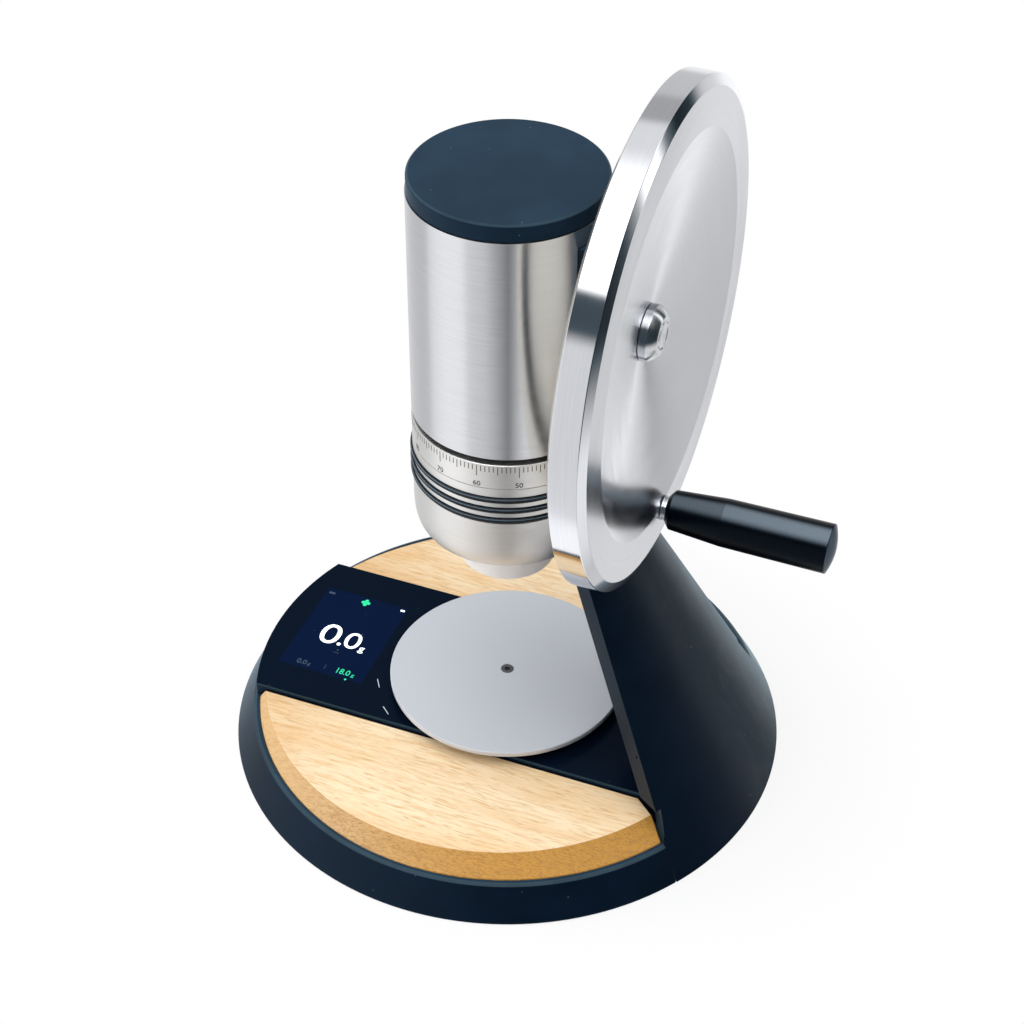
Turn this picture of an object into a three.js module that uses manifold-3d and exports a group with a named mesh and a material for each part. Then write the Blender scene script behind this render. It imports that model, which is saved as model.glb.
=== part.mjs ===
import * as THREE from "three";
import { mergeVertices } from "three/addons/utils/BufferGeometryUtils.js";
import Module from "manifold-3d";

// A manual coffee grinder: a flywheel with a hand grip turns a conical burr over a weighing pan.
// Millimetres, +Z up. The origin is on the floor under the burr's axis, the flywheel's shaft runs
// along +X at y = 0, and the display lies towards -X.

const wasm = await Module();
wasm.setup();

// Clearances
const gap = 0.3; // between pieces that touch
const overrun = 1; // how far a cut runs past what it cuts
const mergeDistance = 0.001;

// Facets in a full turn
const standSteps = 60;
const wheelSteps = 56;
const headSteps = 40;
const innerSteps = 24;
const screwSteps = 12;
const curveSteps = 5; // points along a rounded outline

// Cone of the base and the tower
const baseRadius = 140;
const coneHeight = 250; // the cone's point above the floor
const towerWall = 12; // measured level
const towerHalfAngle = 32.6; // degrees to each side of +X

// Base casting and what lies in it
const footLift = 0.5; // the casting's lower edge above the floor
const padThickness = 2;
const padInset = 24; // inside the base's edge
const basePlate = 3.5;
const rimHeight = 18;
const rimWidth = 2.5;
const rimBevel = 1.1;
const ballastThickness = 4;
const ballastInset = 7; // inside the rim

// Wood panels
const woodTop = 23;
const woodJoint = 0.7; // open joint beside the scale
const woodSlot = 1.2; // open joint beside the tower
const woodChamfer = 5.8; // measured level, on average
const woodTopShiftX = -5.6; // centre of the chamfer's upper edge
const woodTopShiftY = 5.3;
// The panel's end beside the tower, from the scale outwards, as shares of the panel's radius
const woodNearEndShare = 0.696;
const woodEndShares = [
  [0.774, 0.463],
  [0.84, 0.545],
];

// Scale
const scaleHalfWidth = 49.8;
const scaleTop = 26;
const glassThickness = 1.5;
const trayFloor = 2.5;
const displayWidth = 46.9;
const displayLength = 59.5;
const displayThickness = 3.5;
const displayMargin = 14; // from the scale's round end
const displayLedge = 3;
const bayPartition = 2; // free strip between the battery and the circuit board
const batteryThickness = 7;
const boardThickness = 1.6;
const ductWidth = 4; // for the load cell's wires
const cellRoom = 17.9; // between the display and the load cell
const cellWidth = 12;
const cellHeight = 9;
const cellReach = 10; // the load cell's free end past the pan's axis
const cellSeat = 15; // length clamped on the tray
const cellLift = 1.5; // free end above the tray
const cellBore = 2.6;
const panRadius = 59.9;
const panThickness = 2.5;
const panLift = 5.3; // pan above the glass
const panEdge = 0.4;
const panScrewHeadRadius = 3.1;
const panScrewHeadDepth = 1.6;
const panScrewGrip = 7;
const postRadius = 7;
const postClearance = 1;

// Tower foot
const flangeThickness = 6.5;
const flangeReach = 43.4; // inwards from the rim
const flangeHalfWidth = 46;
const towerHoleRadius = 0.9; // small hole in the tower's front cut face
const towerHoleHeight = 57;
const towerHoleDepth = 4;
const towerNotchTop = 33.5; // notches in the foot over the wood panels' ends

// Screws
const screwRadius = 2;
const screwHeadRadius = 4;
const screwHeadHeight = 2.2;
const socketRadius = 1.4; // hexagon over its corners
const socketDepth = 1.2;

// Head: tube, dial, collar and grounds bowl share one outside radius
const headRadius = 44.7;
const chuteBottom = 115;
const chuteLength = 24.2;
const chuteFootRadius = 23;
const chuteTopRadius = 26;
const chuteWall = 1.6;
const chuteNeckRadius = 21.7;
const chuteNeckHeight = 5.8;
const bowlHeight = 28.5;
const bowlRound = 18.5; // height of the rounded part
const bowlFootRadius = 39;
const bowlWall = 2.7;
const bowlFlange = 4; // thickness of the inward flange that carries the ring burr
const collarHeight = 19.8;
const collarWall = 4.3;
const gripRings = 3;
const gripRingWidth = 2.9;
const gripRingProud = 1.1;
const gripRingFirst = 1.65; // centre of the lowest one above the collar's lower end
const gripRingPitch = 5.9;
const gripGrooveDepth = 1.9;
const dialHeight = 13.4;
const dialLip = 0.4;
const grooveHeight = 3.5; // dark groove between the dial and the tube
const tubeLength = 114;
const tubeWall = 2;
const lidHeight = 8.3;
const lidRadius = 44.2;
const lidBevel = 1;
const spigotDepth = 7.6;
const gasketDepth = 1.6;
const gasketWidth = 2.4;
const gasketRise = 2; // above the spigot's lower end

// Neck between the tube, the tower and the flywheel
const neckHalfWidth = 20.7;
const neckEngagement = 19.8; // how far it reaches down behind the tower's top
const neckTopDrop = 9.3; // below the tube's top
const turningRoom = 2.3; // free space round the collar that turns
const seatWall = 1.6;
const bearingWidth = 5.3;
const bearingRadius = 13;
const bearingRecess = 0.5;
const neckScrewSpread = 9;
const neckScrewRise = 5.5; // above the neck's foot
const neckScrewSkin = 4; // left of the tower's wall past its screws
const tubeScrewInset = 10;
const tubeScrewGrip = 7.5;

// Flywheel and its shaft
const shaftRise = 55.5; // above the tube's lower end
const shaftRadius = 5;
const shaftRoom = 1.3; // round the shaft where it passes a wall
const shaftShoulder = 3;
const flywheelClearance = 2;
const flywheelRadius = 115.1;
const flywheelWidth = 17.1;
const flywheelRimWidth = 22.7;
const flywheelChamferRadial = 5.2;
const flywheelChamferAxial = 2.3;
const flywheelWeb = 4.7;
const hubRadius = 13;
const hubPadRadius = 24;
const hubCapCylinder = 3.4;
const hubCapFaceRadius = 8.9;
const hubCapWall = 2.9;
const nutRadius = 8;
const nutThickness = 4;
const nutRoom = 1;

// Hand grip
const handleRadius = 96; // from the shaft to the grip's axis
const spindleRadius = 4;
const spindleRecess = 0.5;
const handleCollarRadius = 6;
const handleCollarLength = 2.3;
const gripLength = 77;
const gripNearRadius = 7;
const gripChamferRadius = 9.4;
const gripChamferLength = 2;
const gripWaistRadius = 11.35;
const gripWaistLength = 27;
const gripEndRadius = 11.7;
const gripDome = 2.5;
const gripEndWall = 4.7;
const bushLength = 10;
const bushWall = 1.2;
const bushInset = 5;
const washerThickness = 1.5;
const spindleEndRoom = 1.5;

// Threaded sleeve, gear frame and gears
const sleeveWall = 2.5;
const sleeveCollarHeight = 8.7; // the part inside the tube
const sleeveFootRise = 3.7; // above the collar's lower end
const throatRadius = 28.5;
const throatThickness = 6;
const throatDrop = 8.3; // below the tube's lower end
const frameRingWidth = 6.4;
const frameThickness = 7.7;
const frameArmWidth = 8;
const frameArms = 3;
const frameBossRadius = 12;
const frameBossHeight = 16;
const frameBossDrop = 2;
const frameFlangeRadius = 21;
const frameFlangeThickness = 3;
const burrBearingRadius = 9.5;
const burrBearingHeight = 13.5;
const gearPitchRadius = 12;
const gearFace = 5;
const gearTeeth = 16;
const gearToothDepth = 1;
const gearTipRelief = 0.25; // each gear's tips inside the pitch cone
const gearHubRadius = 8;
const gearHubLength = 8.8;
const pinionHubLength = 2.5;
const coverRadius = 20;
const coverWall = 1.6;
const coverHeadroom = 5.8; // above the gears
const coverDome = 10;
const shaftSleeveWall = 1.7;

// Burrs
const burrShaftShoulder = 1.5;
const burrShaftEnd = 1; // below its nut
const coneBurrRadius = 27.5;
const coneBurrTopRadius = 12;
const coneBurrHeight = 24;
const coneBurrFoot = 4;
const burrTeeth = 12;
const burrToothDepth = 1.6;
const ringBurrWall = 8.3;
const ringBurrTopWall = 4.5;
const ringBurrHeight = 21.7;
const ringBurrSlack = 0.6;
const burrNutThickness = 5.5;
const burrNutRadius = 8;

// Worked out from the sizes above

const coneRadius = (height) => baseRadius * (1 - height / coneHeight);
const coneHeightAt = (radius) => coneHeight * (1 - radius / baseRadius);
const beyond = 2 * (baseRadius + coneHeight); // past every piece

const padRadius = baseRadius - padInset;
const plateBottom = padThickness + gap;
const plateTop = plateBottom + basePlate;
const layerBottom = plateTop + gap;
const rimOuter = coneRadius(rimHeight);
const rimInner = rimOuter - rimWidth;
const ballastTop = layerBottom + ballastThickness;
const woodBottom = ballastTop + gap;
const woodRadius = rimInner - gap;
const woodTopRadius = woodRadius - woodChamfer;
const woodEdge = scaleHalfWidth + woodJoint;
const flangeTop = layerBottom + flangeThickness;
const flangeStart = rimInner - flangeReach;

const glassBottom = scaleTop - glassThickness;
const trayTop = glassBottom - gap;
const bayFloor = layerBottom + trayFloor;
const displayBottom = trayTop - displayThickness;
const scaleEndRadius = rimOuter - rimBevel;
const displayCentre = scaleEndRadius - displayMargin - displayWidth / 2;
const cellStart = displayWidth / 2 + cellRoom - displayCentre;
const panBottom = scaleTop + panLift;
const panTop = panBottom + panThickness;
const postTop = panBottom - gap;
const cellSeatTop = bayFloor + cellLift;
const cellBottom = cellSeatTop + gap;
const cellTop = cellBottom + cellHeight;
const postBottom = cellTop + gap;
const panScrewBottom = postTop - panScrewGrip;

const chuteTop = chuteBottom + chuteLength;
const bowlBottom = chuteTop + gap;
const bowlTop = bowlBottom + bowlHeight;
const collarBottom = bowlTop + gap;
const collarTop = collarBottom + collarHeight;
const collarInner = headRadius - collarWall;
const dialBottom = collarTop + gap;
const dialTop = dialBottom + dialHeight;
const tubeBottom = dialTop + grooveHeight;
const tubeTop = tubeBottom + tubeLength;
const tubeInner = headRadius - tubeWall;
const lidBottom = tubeTop + gap;
const lidTop = lidBottom + lidHeight;
const spigotBottom = lidBottom - spigotDepth;
const spigotRadius = tubeInner - 2 * gap;
const gasketRadius = tubeInner - gap;
const gasketInner = gasketRadius - gasketDepth;
const gasketBottom = spigotBottom + gasketRise;
const gasketTop = gasketBottom + gasketWidth;

const neckInner = headRadius + turningRoom;
const saddleRadius = headRadius + gap;
const boreFloor = saddleRadius + seatWall;
const innerBearingStart = boreFloor + gap;
const outerBearingStart = innerBearingStart + bearingWidth + gap;
const outerBearingEnd = outerBearingStart + bearingWidth;
const neckOuter = outerBearingEnd + bearingRecess;
const neckTop = tubeTop - neckTopDrop;
const towerTop = coneHeightAt(neckOuter);
const flywheelBack = neckOuter + flywheelClearance;
const flywheelFront = flywheelBack + flywheelWidth;
const flywheelInnerRadius = flywheelRadius - flywheelRimWidth;
const hubFace = flywheelBack + flywheelWeb;
const nutBottom = hubFace + gap;
const nutTop = nutBottom + nutThickness;
const hubCapCeiling = nutTop + 2 * gap;
const hubCapTop = hubCapCeiling + hubCapWall;
const shaftHeight = tubeBottom + shaftRise;
const towerReach = Math.min(towerTop, shaftHeight - flywheelRadius); // lower of cone and flywheel
const neckFoot = towerReach - neckEngagement;
const shaftHole = shaftRadius + shaftRoom;
const shaftWide = shaftRadius + shaftShoulder;

const collarSeat = flywheelFront + gap;
const gripStart = collarSeat + handleCollarLength + gap;
const gripEnd = gripStart + gripLength;
const gripBoreEnd = gripEnd - gripEndWall;
const spindleEnd = gripBoreEnd - spindleEndRoom;
const washerTop = spindleEnd - gap;
const washerBottom = washerTop - washerThickness;
const bushRadius = spindleRadius + gap + bushWall;
const gripBore = bushRadius + gap;
const innerBushStart = gripStart + bushInset;
const outerBushStart = washerBottom - gap - bushLength;

const sleeveRadius = collarInner - gap;
const sleeveInner = sleeveRadius - sleeveWall;
const sleeveCollarRadius = tubeInner - gap;
const sleeveTop = tubeBottom + sleeveCollarHeight;
const sleeveFoot = collarBottom + sleeveFootRise;
const throatBottom = tubeBottom - throatDrop;
const frameBottom = sleeveTop + gap;
const frameTop = frameBottom + frameThickness;
const frameBossBottom = frameBottom - frameBossDrop;
const frameBossTop = frameBossBottom + frameBossHeight;
const burrBearingTop = frameBossTop - gap;
const burrBearingBottom = burrBearingTop - burrBearingHeight;
const coverBottom = frameBossTop + gap;
const coverTop = shaftHeight + gearPitchRadius + coverHeadroom;
const gearTipRadius = gearPitchRadius - gearTipRelief;
const gearBottom = shaftHeight - gearPitchRadius;
const gearHubBottom = gearBottom - gearHubLength;
const burrShaftTop = gearBottom + gearFace + gap;
const driveShaftStart = gearPitchRadius - gearFace - gap;
const burrShaftWide = shaftRadius + burrShaftShoulder;
const ringBurrRadius = sleeveInner - ringBurrSlack;
const ringBurrInner = ringBurrRadius - ringBurrWall;
const coneBurrBottom = sleeveFoot;
const coneBurrTop = coneBurrBottom + coneBurrHeight;
const burrNutBottom = coneBurrBottom - gap - burrNutThickness;

// Finishes
const finishes = {
  darkPaint: { color: 0x1c2f40, roughness: 0.45, metalness: 0.2 },
  darkAnodised: { color: 0x14202c, roughness: 0.35, metalness: 0.6 },
  steel: { color: 0xc9ccd0, roughness: 0.32, metalness: 1 },
  plate: { color: 0xc6cad4, roughness: 0.5, metalness: 0.7 },
  innerSteel: { color: 0x9a9ea3, roughness: 0.45, metalness: 1 },
  bronze: { color: 0xb08a4a, roughness: 0.45, metalness: 1 },
  oak: { color: 0xe3bd84, roughness: 0.6, metalness: 0 },
  blackGlass: { color: 0x070d18, roughness: 0.12, metalness: 0 },
  blackPlastic: { color: 0x10161d, roughness: 0.55, metalness: 0 },
  clearPlastic: { color: 0xe9dedb, roughness: 0.35, metalness: 0 },
  rubber: { color: 0x15212d, roughness: 0.7, metalness: 0 },
  board: { color: 0x1d5a3c, roughness: 0.6, metalness: 0 },
};

// Solids and how they are joined and cut

function toSolid(geometry) {
  const bare = geometry.clone();
  bare.deleteAttribute("normal");
  bare.deleteAttribute("uv");
  const merged = mergeVertices(bare, mergeDistance);
  return new wasm.Manifold(
    new wasm.Mesh({
      numProp: 3,
      vertProperties: merged.attributes.position.array,
      triVerts: new Uint32Array(merged.index.array),
    }),
  );
}

function toGeometry(solid) {
  const { vertProperties, triVerts } = solid.getMesh();
  return new THREE.BufferGeometry()
    .setAttribute("position", new THREE.BufferAttribute(vertProperties, 3))
    .setIndex(new THREE.BufferAttribute(triVerts, 1));
}

function combine(operation, first, others) {
  const combined = others.reduce(
    (solid, other) => solid[operation](toSolid(other)),
    toSolid(first),
  );
  return toGeometry(combined);
}

const join = (first, ...others) => combine("add", first, others);
const cut = (first, ...others) => combine("subtract", first, others);
const common = (first, ...others) => combine("intersect", first, others);

// A solid turned about Z from an outline of [radius, height] points, listed anticlockwise.
function turned(outline, steps) {
  const closed = outline[0][0] === 0 ? outline : [...outline, outline[0]];
  const points = closed.map(([radius, height]) => new THREE.Vector2(radius, height));
  return new THREE.LatheGeometry(points, steps).rotateX(Math.PI / 2);
}

function disc(radius, low, high, steps) {
  return turned([[0, low], [radius, low], [radius, high], [0, high]], steps);
}

function ring(inner, outer, low, high, steps) {
  return turned([[inner, low], [outer, low], [outer, high], [inner, high]], steps);
}

// An upright prism over a closed outline of [x, y] points.
function prism(outline, low, high) {
  const shape = new THREE.Shape(outline.map(([x, y]) => new THREE.Vector2(x, y)));
  const depth = high - low;
  return new THREE.ExtrudeGeometry(shape, { depth, bevelEnabled: false }).translate(0, 0, low);
}

// A block between two corners, each [x, y, z].
function block(low, high) {
  const [width, length, height] = high.map((value, axis) => value - low[axis]);
  const centre = high.map((value, axis) => (value + low[axis]) / 2);
  return new THREE.BoxGeometry(width, length, height).translate(...centre);
}

function hexagon(radius, low, high) {
  return new THREE.CylinderGeometry(radius, radius, high - low, 6)
    .rotateX(Math.PI / 2)
    .translate(0, 0, (low + high) / 2);
}

// Lays a shape made about Z on the flywheel shaft's line, its heights measured along +X.
function onShaft(geometry) {
  return geometry.rotateY(Math.PI / 2).translate(0, 0, shaftHeight);
}

// Moves every second pair of a turned shape's columns in or out, which leaves teeth or flutes.
function toothed(geometry, teeth, depth, leastRadius, mostRadius) {
  const position = geometry.attributes.position;
  const column = Math.PI / (2 * teeth);
  for (let i = 0; i < position.count; i += 1) {
    const x = position.getX(i);
    const y = position.getY(i);
    const radius = Math.hypot(x, y);
    const turn = Math.atan2(y, x) + 2 * Math.PI;
    const valley = Math.round(turn / column) % 4 > 1;
    if (valley && radius > leastRadius && radius < mostRadius) {
      const scale = 1 + depth / radius;
      position.setXY(i, x * scale, y * scale);
    }
  }
  return geometry;
}

function piece(name, finish, geometry) {
  const facets = geometry.index ? geometry.toNonIndexed() : geometry;
  facets.computeVertexNormals();
  const mesh = new THREE.Mesh(facets, new THREE.MeshStandardMaterial(finishes[finish]));
  mesh.name = name;
  return mesh;
}

function group(...members) {
  return new THREE.Group().add(...members);
}

// A hexagon-socket screw along Z, its head's top at zero and its shank below.
function socketScrew(length) {
  const body = turned(
    [
      [0, -length],
      [screwRadius, -length],
      [screwRadius, -screwHeadHeight],
      [screwHeadRadius, -screwHeadHeight],
      [screwHeadRadius, 0],
      [0, 0],
    ],
    screwSteps,
  );
  return cut(body, hexagon(socketRadius, -socketDepth, overrun));
}

// Room for such a screw, with a gap all round and an open top.
function screwRoom(length) {
  return join(
    disc(screwRadius + gap, -length - gap, overrun, screwSteps),
    disc(screwHeadRadius + gap, -screwHeadHeight - gap, overrun, screwSteps),
  );
}

// The sector that the tower fills, seen from above, with its sides moved out by a clearance.
function towerSector(clearance) {
  const angle = THREE.MathUtils.degToRad(towerHalfAngle);
  const start = -clearance / Math.sin(angle);
  const side = (beyond - start) * Math.tan(angle);
  return prism([[start, 0], [beyond, -side], [beyond, side]], -overrun, coneHeight);
}

// Room that the tower's wall takes up in the base, grown by a clearance.
function towerRoom(clearance) {
  const inset = towerWall + clearance;
  const outside = turned(
    [
      [coneRadius(-overrun) - inset, -overrun],
      [beyond, -overrun],
      [beyond, towerTop],
      [coneRadius(towerTop) - inset, towerTop],
    ],
    standSteps,
  );
  return common(outside, towerSector(clearance));
}

// Stand

const towerScrewLength = flangeTop - plateBottom - overrun;
const towerScrewPlaces = [
  [flangeStart + 2 * screwHeadRadius, 4 * screwHeadRadius - flangeHalfWidth],
  [flangeStart + 2 * screwHeadRadius, flangeHalfWidth - 4 * screwHeadRadius],
  [flangeStart + 5 * screwHeadRadius, 0],
];

function underBase(geometry, [x, y]) {
  return geometry.rotateX(Math.PI).translate(x, y, plateBottom);
}

function towerScrewRooms() {
  return towerScrewPlaces.map((place) => underBase(screwRoom(towerScrewLength), place));
}

function baseCasting() {
  const body = turned(
    [
      [0, plateBottom],
      [padRadius + gap, plateBottom],
      [padRadius + gap, footLift],
      [coneRadius(footLift), footLift],
      [coneRadius(rimHeight - rimBevel), rimHeight - rimBevel],
      [rimOuter - rimBevel, rimHeight],
      [rimInner, rimHeight],
      [rimInner, plateTop],
      [0, plateTop],
    ],
    standSteps,
  );
  return cut(body, towerRoom(gap), ...towerScrewRooms());
}

// The front pieces have side = -1 and the rear ones side = 1.
function besideScale(side, outline) {
  const turnedOver = outline.map(([x, y]) => [x, side * y]);
  return prism(turnedOver, 0, coneHeight);
}

function ballast(side) {
  const half = besideScale(side, [
    [-beyond, woodEdge],
    [beyond, woodEdge],
    [beyond, beyond],
    [-beyond, beyond],
  ]);
  const plate = disc(rimInner - ballastInset, layerBottom, ballastTop, standSteps);
  return cut(common(plate, half), towerRoom(gap));
}

// The panel's outer edge rises straight from the rim and then leans in to an offset circle.
function woodBlank(side) {
  const blank = turned(
    [
      [0, woodBottom],
      [woodRadius, woodBottom],
      [woodRadius, rimHeight],
      [woodTopRadius, woodTop],
      [0, woodTop],
    ],
    standSteps,
  );
  const position = blank.attributes.position;
  for (let i = 0; i < position.count; i += 1) {
    if (position.getZ(i) > rimHeight + mergeDistance) {
      position.setX(i, position.getX(i) + woodTopShiftX);
      position.setY(i, position.getY(i) - side * woodTopShiftY);
    }
  }
  return blank;
}

// A panel seen from above, with its end beside the tower moved out by a clearance.
function woodOutline(side, clearance) {
  const end = woodEndShares.map(([x, y]) => [
    x * woodRadius + clearance,
    y * woodRadius - clearance,
  ]);
  const [farX] = end.at(-1);
  return besideScale(side, [
    [-beyond, woodEdge - clearance],
    [woodNearEndShare * woodRadius + clearance, woodEdge - clearance],
    ...end,
    [farX, beyond],
    [-beyond, beyond],
  ]);
}

function woodPanel(side) {
  return common(woodBlank(side), woodOutline(side, 0));
}

// Notch in the tower's foot that clears a panel's end.
function towerNotch(side) {
  const layer = block([0, -beyond, woodBottom - gap], [beyond, beyond, towerNotchTop]);
  return common(woodOutline(side, woodSlot), layer);
}

function towerHole() {
  const angle = THREE.MathUtils.degToRad(-towerHalfAngle);
  const fromAxis = coneRadius(towerHoleHeight) - towerWall / 4;
  return disc(towerHoleRadius, -towerHoleDepth, overrun, screwSteps)
    .rotateX(Math.PI / 2)
    .translate(fromAxis, 0, towerHoleHeight)
    .rotateZ(angle);
}

function tower() {
  const shell = turned(
    [
      [coneRadius(footLift) - towerWall, footLift],
      [coneRadius(footLift), footLift],
      [coneRadius(towerTop), towerTop],
      [coneRadius(towerTop) - towerWall, towerTop],
    ],
    standSteps,
  );
  const flange = common(
    disc(coneRadius(flangeTop) - towerWall / 2, layerBottom, flangeTop, standSteps),
    block([flangeStart, -flangeHalfWidth, 0], [beyond, flangeHalfWidth, coneHeight]),
  );
  const neckRoom = block(
    [0, -neckHalfWidth - gap, neckFoot - gap],
    [neckOuter + gap, neckHalfWidth + gap, coneHeight],
  );
  const bowlRoom = disc(neckInner, bowlBottom - turningRoom, coneHeight, headSteps);
  const wheelRadius = flywheelRadius + flywheelClearance;
  const wheelRoom = onShaft(disc(wheelRadius, neckOuter, beyond, wheelSteps));
  return cut(
    join(common(shell, towerSector(0)), flange),
    neckRoom,
    bowlRoom,
    wheelRoom,
    towerNotch(-1),
    towerNotch(1),
    towerHole(),
    ...neckScrewPlaces.map((place) => alongNeck(screwRoom(neckScrewLength), place)),
    ...towerScrewRooms(),
  );
}

// Neck

const neckScrewHeight = neckFoot + neckScrewRise;
const neckScrewLength = coneRadius(neckScrewHeight) - neckScrewSkin - neckInner;
const neckScrewPlaces = [-1, 1].map((side) => [
  neckInner,
  side * neckScrewSpread,
  neckScrewHeight,
]);
const tubeScrewStart =
  Math.sqrt(tubeInner ** 2 - screwHeadRadius ** 2) - gap - screwHeadHeight;
const tubeScrewLength = saddleRadius + tubeScrewGrip - tubeScrewStart;
const tubeScrewPlaces = [frameTop + tubeScrewInset, spigotBottom - tubeScrewInset].map(
  (height) => [tubeScrewStart, 0, height],
);

// Points a screw's shank along +X from its head at a place.
function alongNeck(geometry, place) {
  return geometry.rotateY(-Math.PI / 2).translate(...place);
}

function tubeScrewHoles() {
  return tubeScrewPlaces.map((place) =>
    alongNeck(disc(screwRadius + gap, -tubeScrewLength - gap, 0, screwSteps), place),
  );
}

function shaftOpening(from, to) {
  return onShaft(disc(shaftHole, from, to, innerSteps));
}

function neckColumn() {
  const saddle = cut(
    block(
      [headRadius / 2, -neckHalfWidth, tubeBottom + gap],
      [neckOuter, neckHalfWidth, neckTop],
    ),
    disc(saddleRadius, 0, lidTop, headSteps),
  );
  const foot = block(
    [neckInner, -neckHalfWidth, neckFoot],
    [neckOuter, neckHalfWidth, tubeBottom + gap + overrun],
  );
  return cut(
    join(saddle, foot),
    onShaft(disc(bearingRadius + gap, boreFloor, neckOuter + overrun, headSteps)),
    shaftOpening(0, neckOuter),
    ...tubeScrewHoles(),
    ...neckScrewPlaces.map((place) => alongNeck(screwRoom(neckScrewLength), place)),
  );
}

function hopperTube() {
  return cut(
    ring(tubeInner, headRadius, tubeBottom, tubeTop, headSteps),
    shaftOpening(0, neckOuter),
    ...tubeScrewHoles(),
  );
}

// Scale

function scaleStrip() {
  return block([-beyond, -scaleHalfWidth, 0], [beyond, scaleHalfWidth, coneHeight]);
}

function postOpening() {
  return disc(postRadius + postClearance, cellTop, panTop, innerSteps);
}

function scaleTray() {
  const lower = disc(woodRadius, layerBottom, rimHeight + gap, standSteps);
  const upper = disc(scaleEndRadius, rimHeight + gap, trayTop, standSteps);
  const body = common(join(lower, upper), scaleStrip());
  const flangeRoom = block([flangeStart - gap, -beyond, 0], [beyond, beyond, flangeTop + gap]);
  const halfWidth = displayWidth / 2 + gap;
  const halfLength = displayLength / 2 + gap;
  const left = -displayCentre - halfWidth;
  const right = -displayCentre + halfWidth;
  const displayRoom = block(
    [left, -halfLength, displayBottom - gap],
    [right, halfLength, scaleTop],
  );
  const bay = block(
    [left + displayLedge, displayLedge - halfLength, bayFloor],
    [right - displayLedge, halfLength - displayLedge, scaleTop],
  );
  const channelHalf = cellWidth / 2 + postClearance;
  const channel = block(
    [cellStart + cellSeat, -channelHalf, bayFloor],
    [cellReach + postClearance, channelHalf, scaleTop],
  );
  const seatRoom = block(
    [cellStart - postClearance, -channelHalf, cellSeatTop],
    [cellReach, channelHalf, scaleTop],
  );
  const duct = block(
    [right - displayLedge - overrun, -ductWidth / 2, cellSeatTop],
    [cellStart, ductWidth / 2, cellSeatTop + ductWidth],
  );
  return cut(
    body,
    towerRoom(gap),
    flangeRoom,
    displayRoom,
    bay,
    channel,
    seatRoom,
    duct,
    postOpening(),
  );
}

function scaleGlass() {
  const sheet = common(disc(scaleEndRadius, glassBottom, scaleTop, standSteps), scaleStrip());
  return cut(sheet, towerRoom(gap), postOpening());
}

function displayPanel() {
  return block(
    [-displayCentre - displayWidth / 2, -displayLength / 2, displayBottom],
    [-displayCentre + displayWidth / 2, displayLength / 2, trayTop],
  );
}

// The bay under the display holds the battery on its front half and the board on its rear half.
function inBay(side, thickness) {
  const halfWidth = displayWidth / 2 - displayLedge;
  const halfLength = displayLength / 2 - displayLedge;
  const ends = [side * (bayPartition / 2), side * halfLength];
  return block(
    [-displayCentre - halfWidth, Math.min(...ends), bayFloor + gap],
    [-displayCentre + halfWidth, Math.max(...ends), bayFloor + gap + thickness],
  );
}

// The bar is thinned by two holes over its middle, where it bends.
function loadCell() {
  const bar = block(
    [cellStart, -cellWidth / 2, cellBottom],
    [cellReach, cellWidth / 2, cellTop],
  );
  const middle = (cellStart + cellReach) / 2;
  const bores = [-1, 1].map((side) =>
    disc(cellBore, -cellWidth, cellWidth, screwSteps)
      .rotateX(Math.PI / 2)
      .translate(middle + side * cellBore * 2, 0, (cellBottom + cellTop) / 2),
  );
  return cut(bar, ...bores);
}

function scalePan() {
  const plate = turned(
    [
      [0, panBottom],
      [panRadius, panBottom],
      [panRadius, panTop - panEdge],
      [panRadius - panEdge, panTop],
      [0, panTop],
    ],
    standSteps,
  );
  const neckOfScrew = panTop - panScrewHeadDepth - gap;
  const screwRoomInPan = turned(
    [
      [0, panBottom - overrun],
      [screwRadius + gap, panBottom - overrun],
      [screwRadius + gap, neckOfScrew],
      [panScrewHeadRadius + gap, panTop - gap],
      [panScrewHeadRadius + gap, panTop + overrun],
      [0, panTop + overrun],
    ],
    innerSteps,
  );
  return cut(plate, screwRoomInPan);
}

function panPost() {
  return cut(
    disc(postRadius, postBottom, postTop, innerSteps),
    disc(screwRadius + gap, panScrewBottom - gap, postTop + overrun, innerSteps),
  );
}

function panScrew() {
  const body = turned(
    [
      [0, panScrewBottom],
      [screwRadius, panScrewBottom],
      [screwRadius, panTop - panScrewHeadDepth],
      [panScrewHeadRadius, panTop],
      [0, panTop],
    ],
    innerSteps,
  );
  return cut(body, hexagon(socketRadius, panTop - socketDepth, panTop + overrun));
}

// Lid

function lid() {
  const grooveRadius = gasketInner - gap;
  return turned(
    [
      [0, spigotBottom],
      [spigotRadius, spigotBottom],
      [spigotRadius, gasketBottom - gap],
      [grooveRadius, gasketBottom - gap],
      [grooveRadius, gasketTop + gap],
      [spigotRadius, gasketTop + gap],
      [spigotRadius, lidBottom],
      [lidRadius, lidBottom],
      [lidRadius, lidTop - lidBevel],
      [lidRadius - lidBevel, lidTop],
      [0, lidTop],
    ],
    headSteps,
  );
}

// Inside the tube

function threadedSleeve() {
  return turned(
    [
      [sleeveInner, sleeveFoot],
      [sleeveRadius, sleeveFoot],
      [sleeveRadius, tubeBottom],
      [sleeveCollarRadius, tubeBottom],
      [sleeveCollarRadius, sleeveTop],
      [sleeveInner, sleeveTop],
      [sleeveInner, throatBottom + throatThickness],
      [throatRadius, throatBottom + sleeveWall],
      [throatRadius, throatBottom],
      [sleeveInner, throatBottom],
    ],
    headSteps,
  );
}

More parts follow.
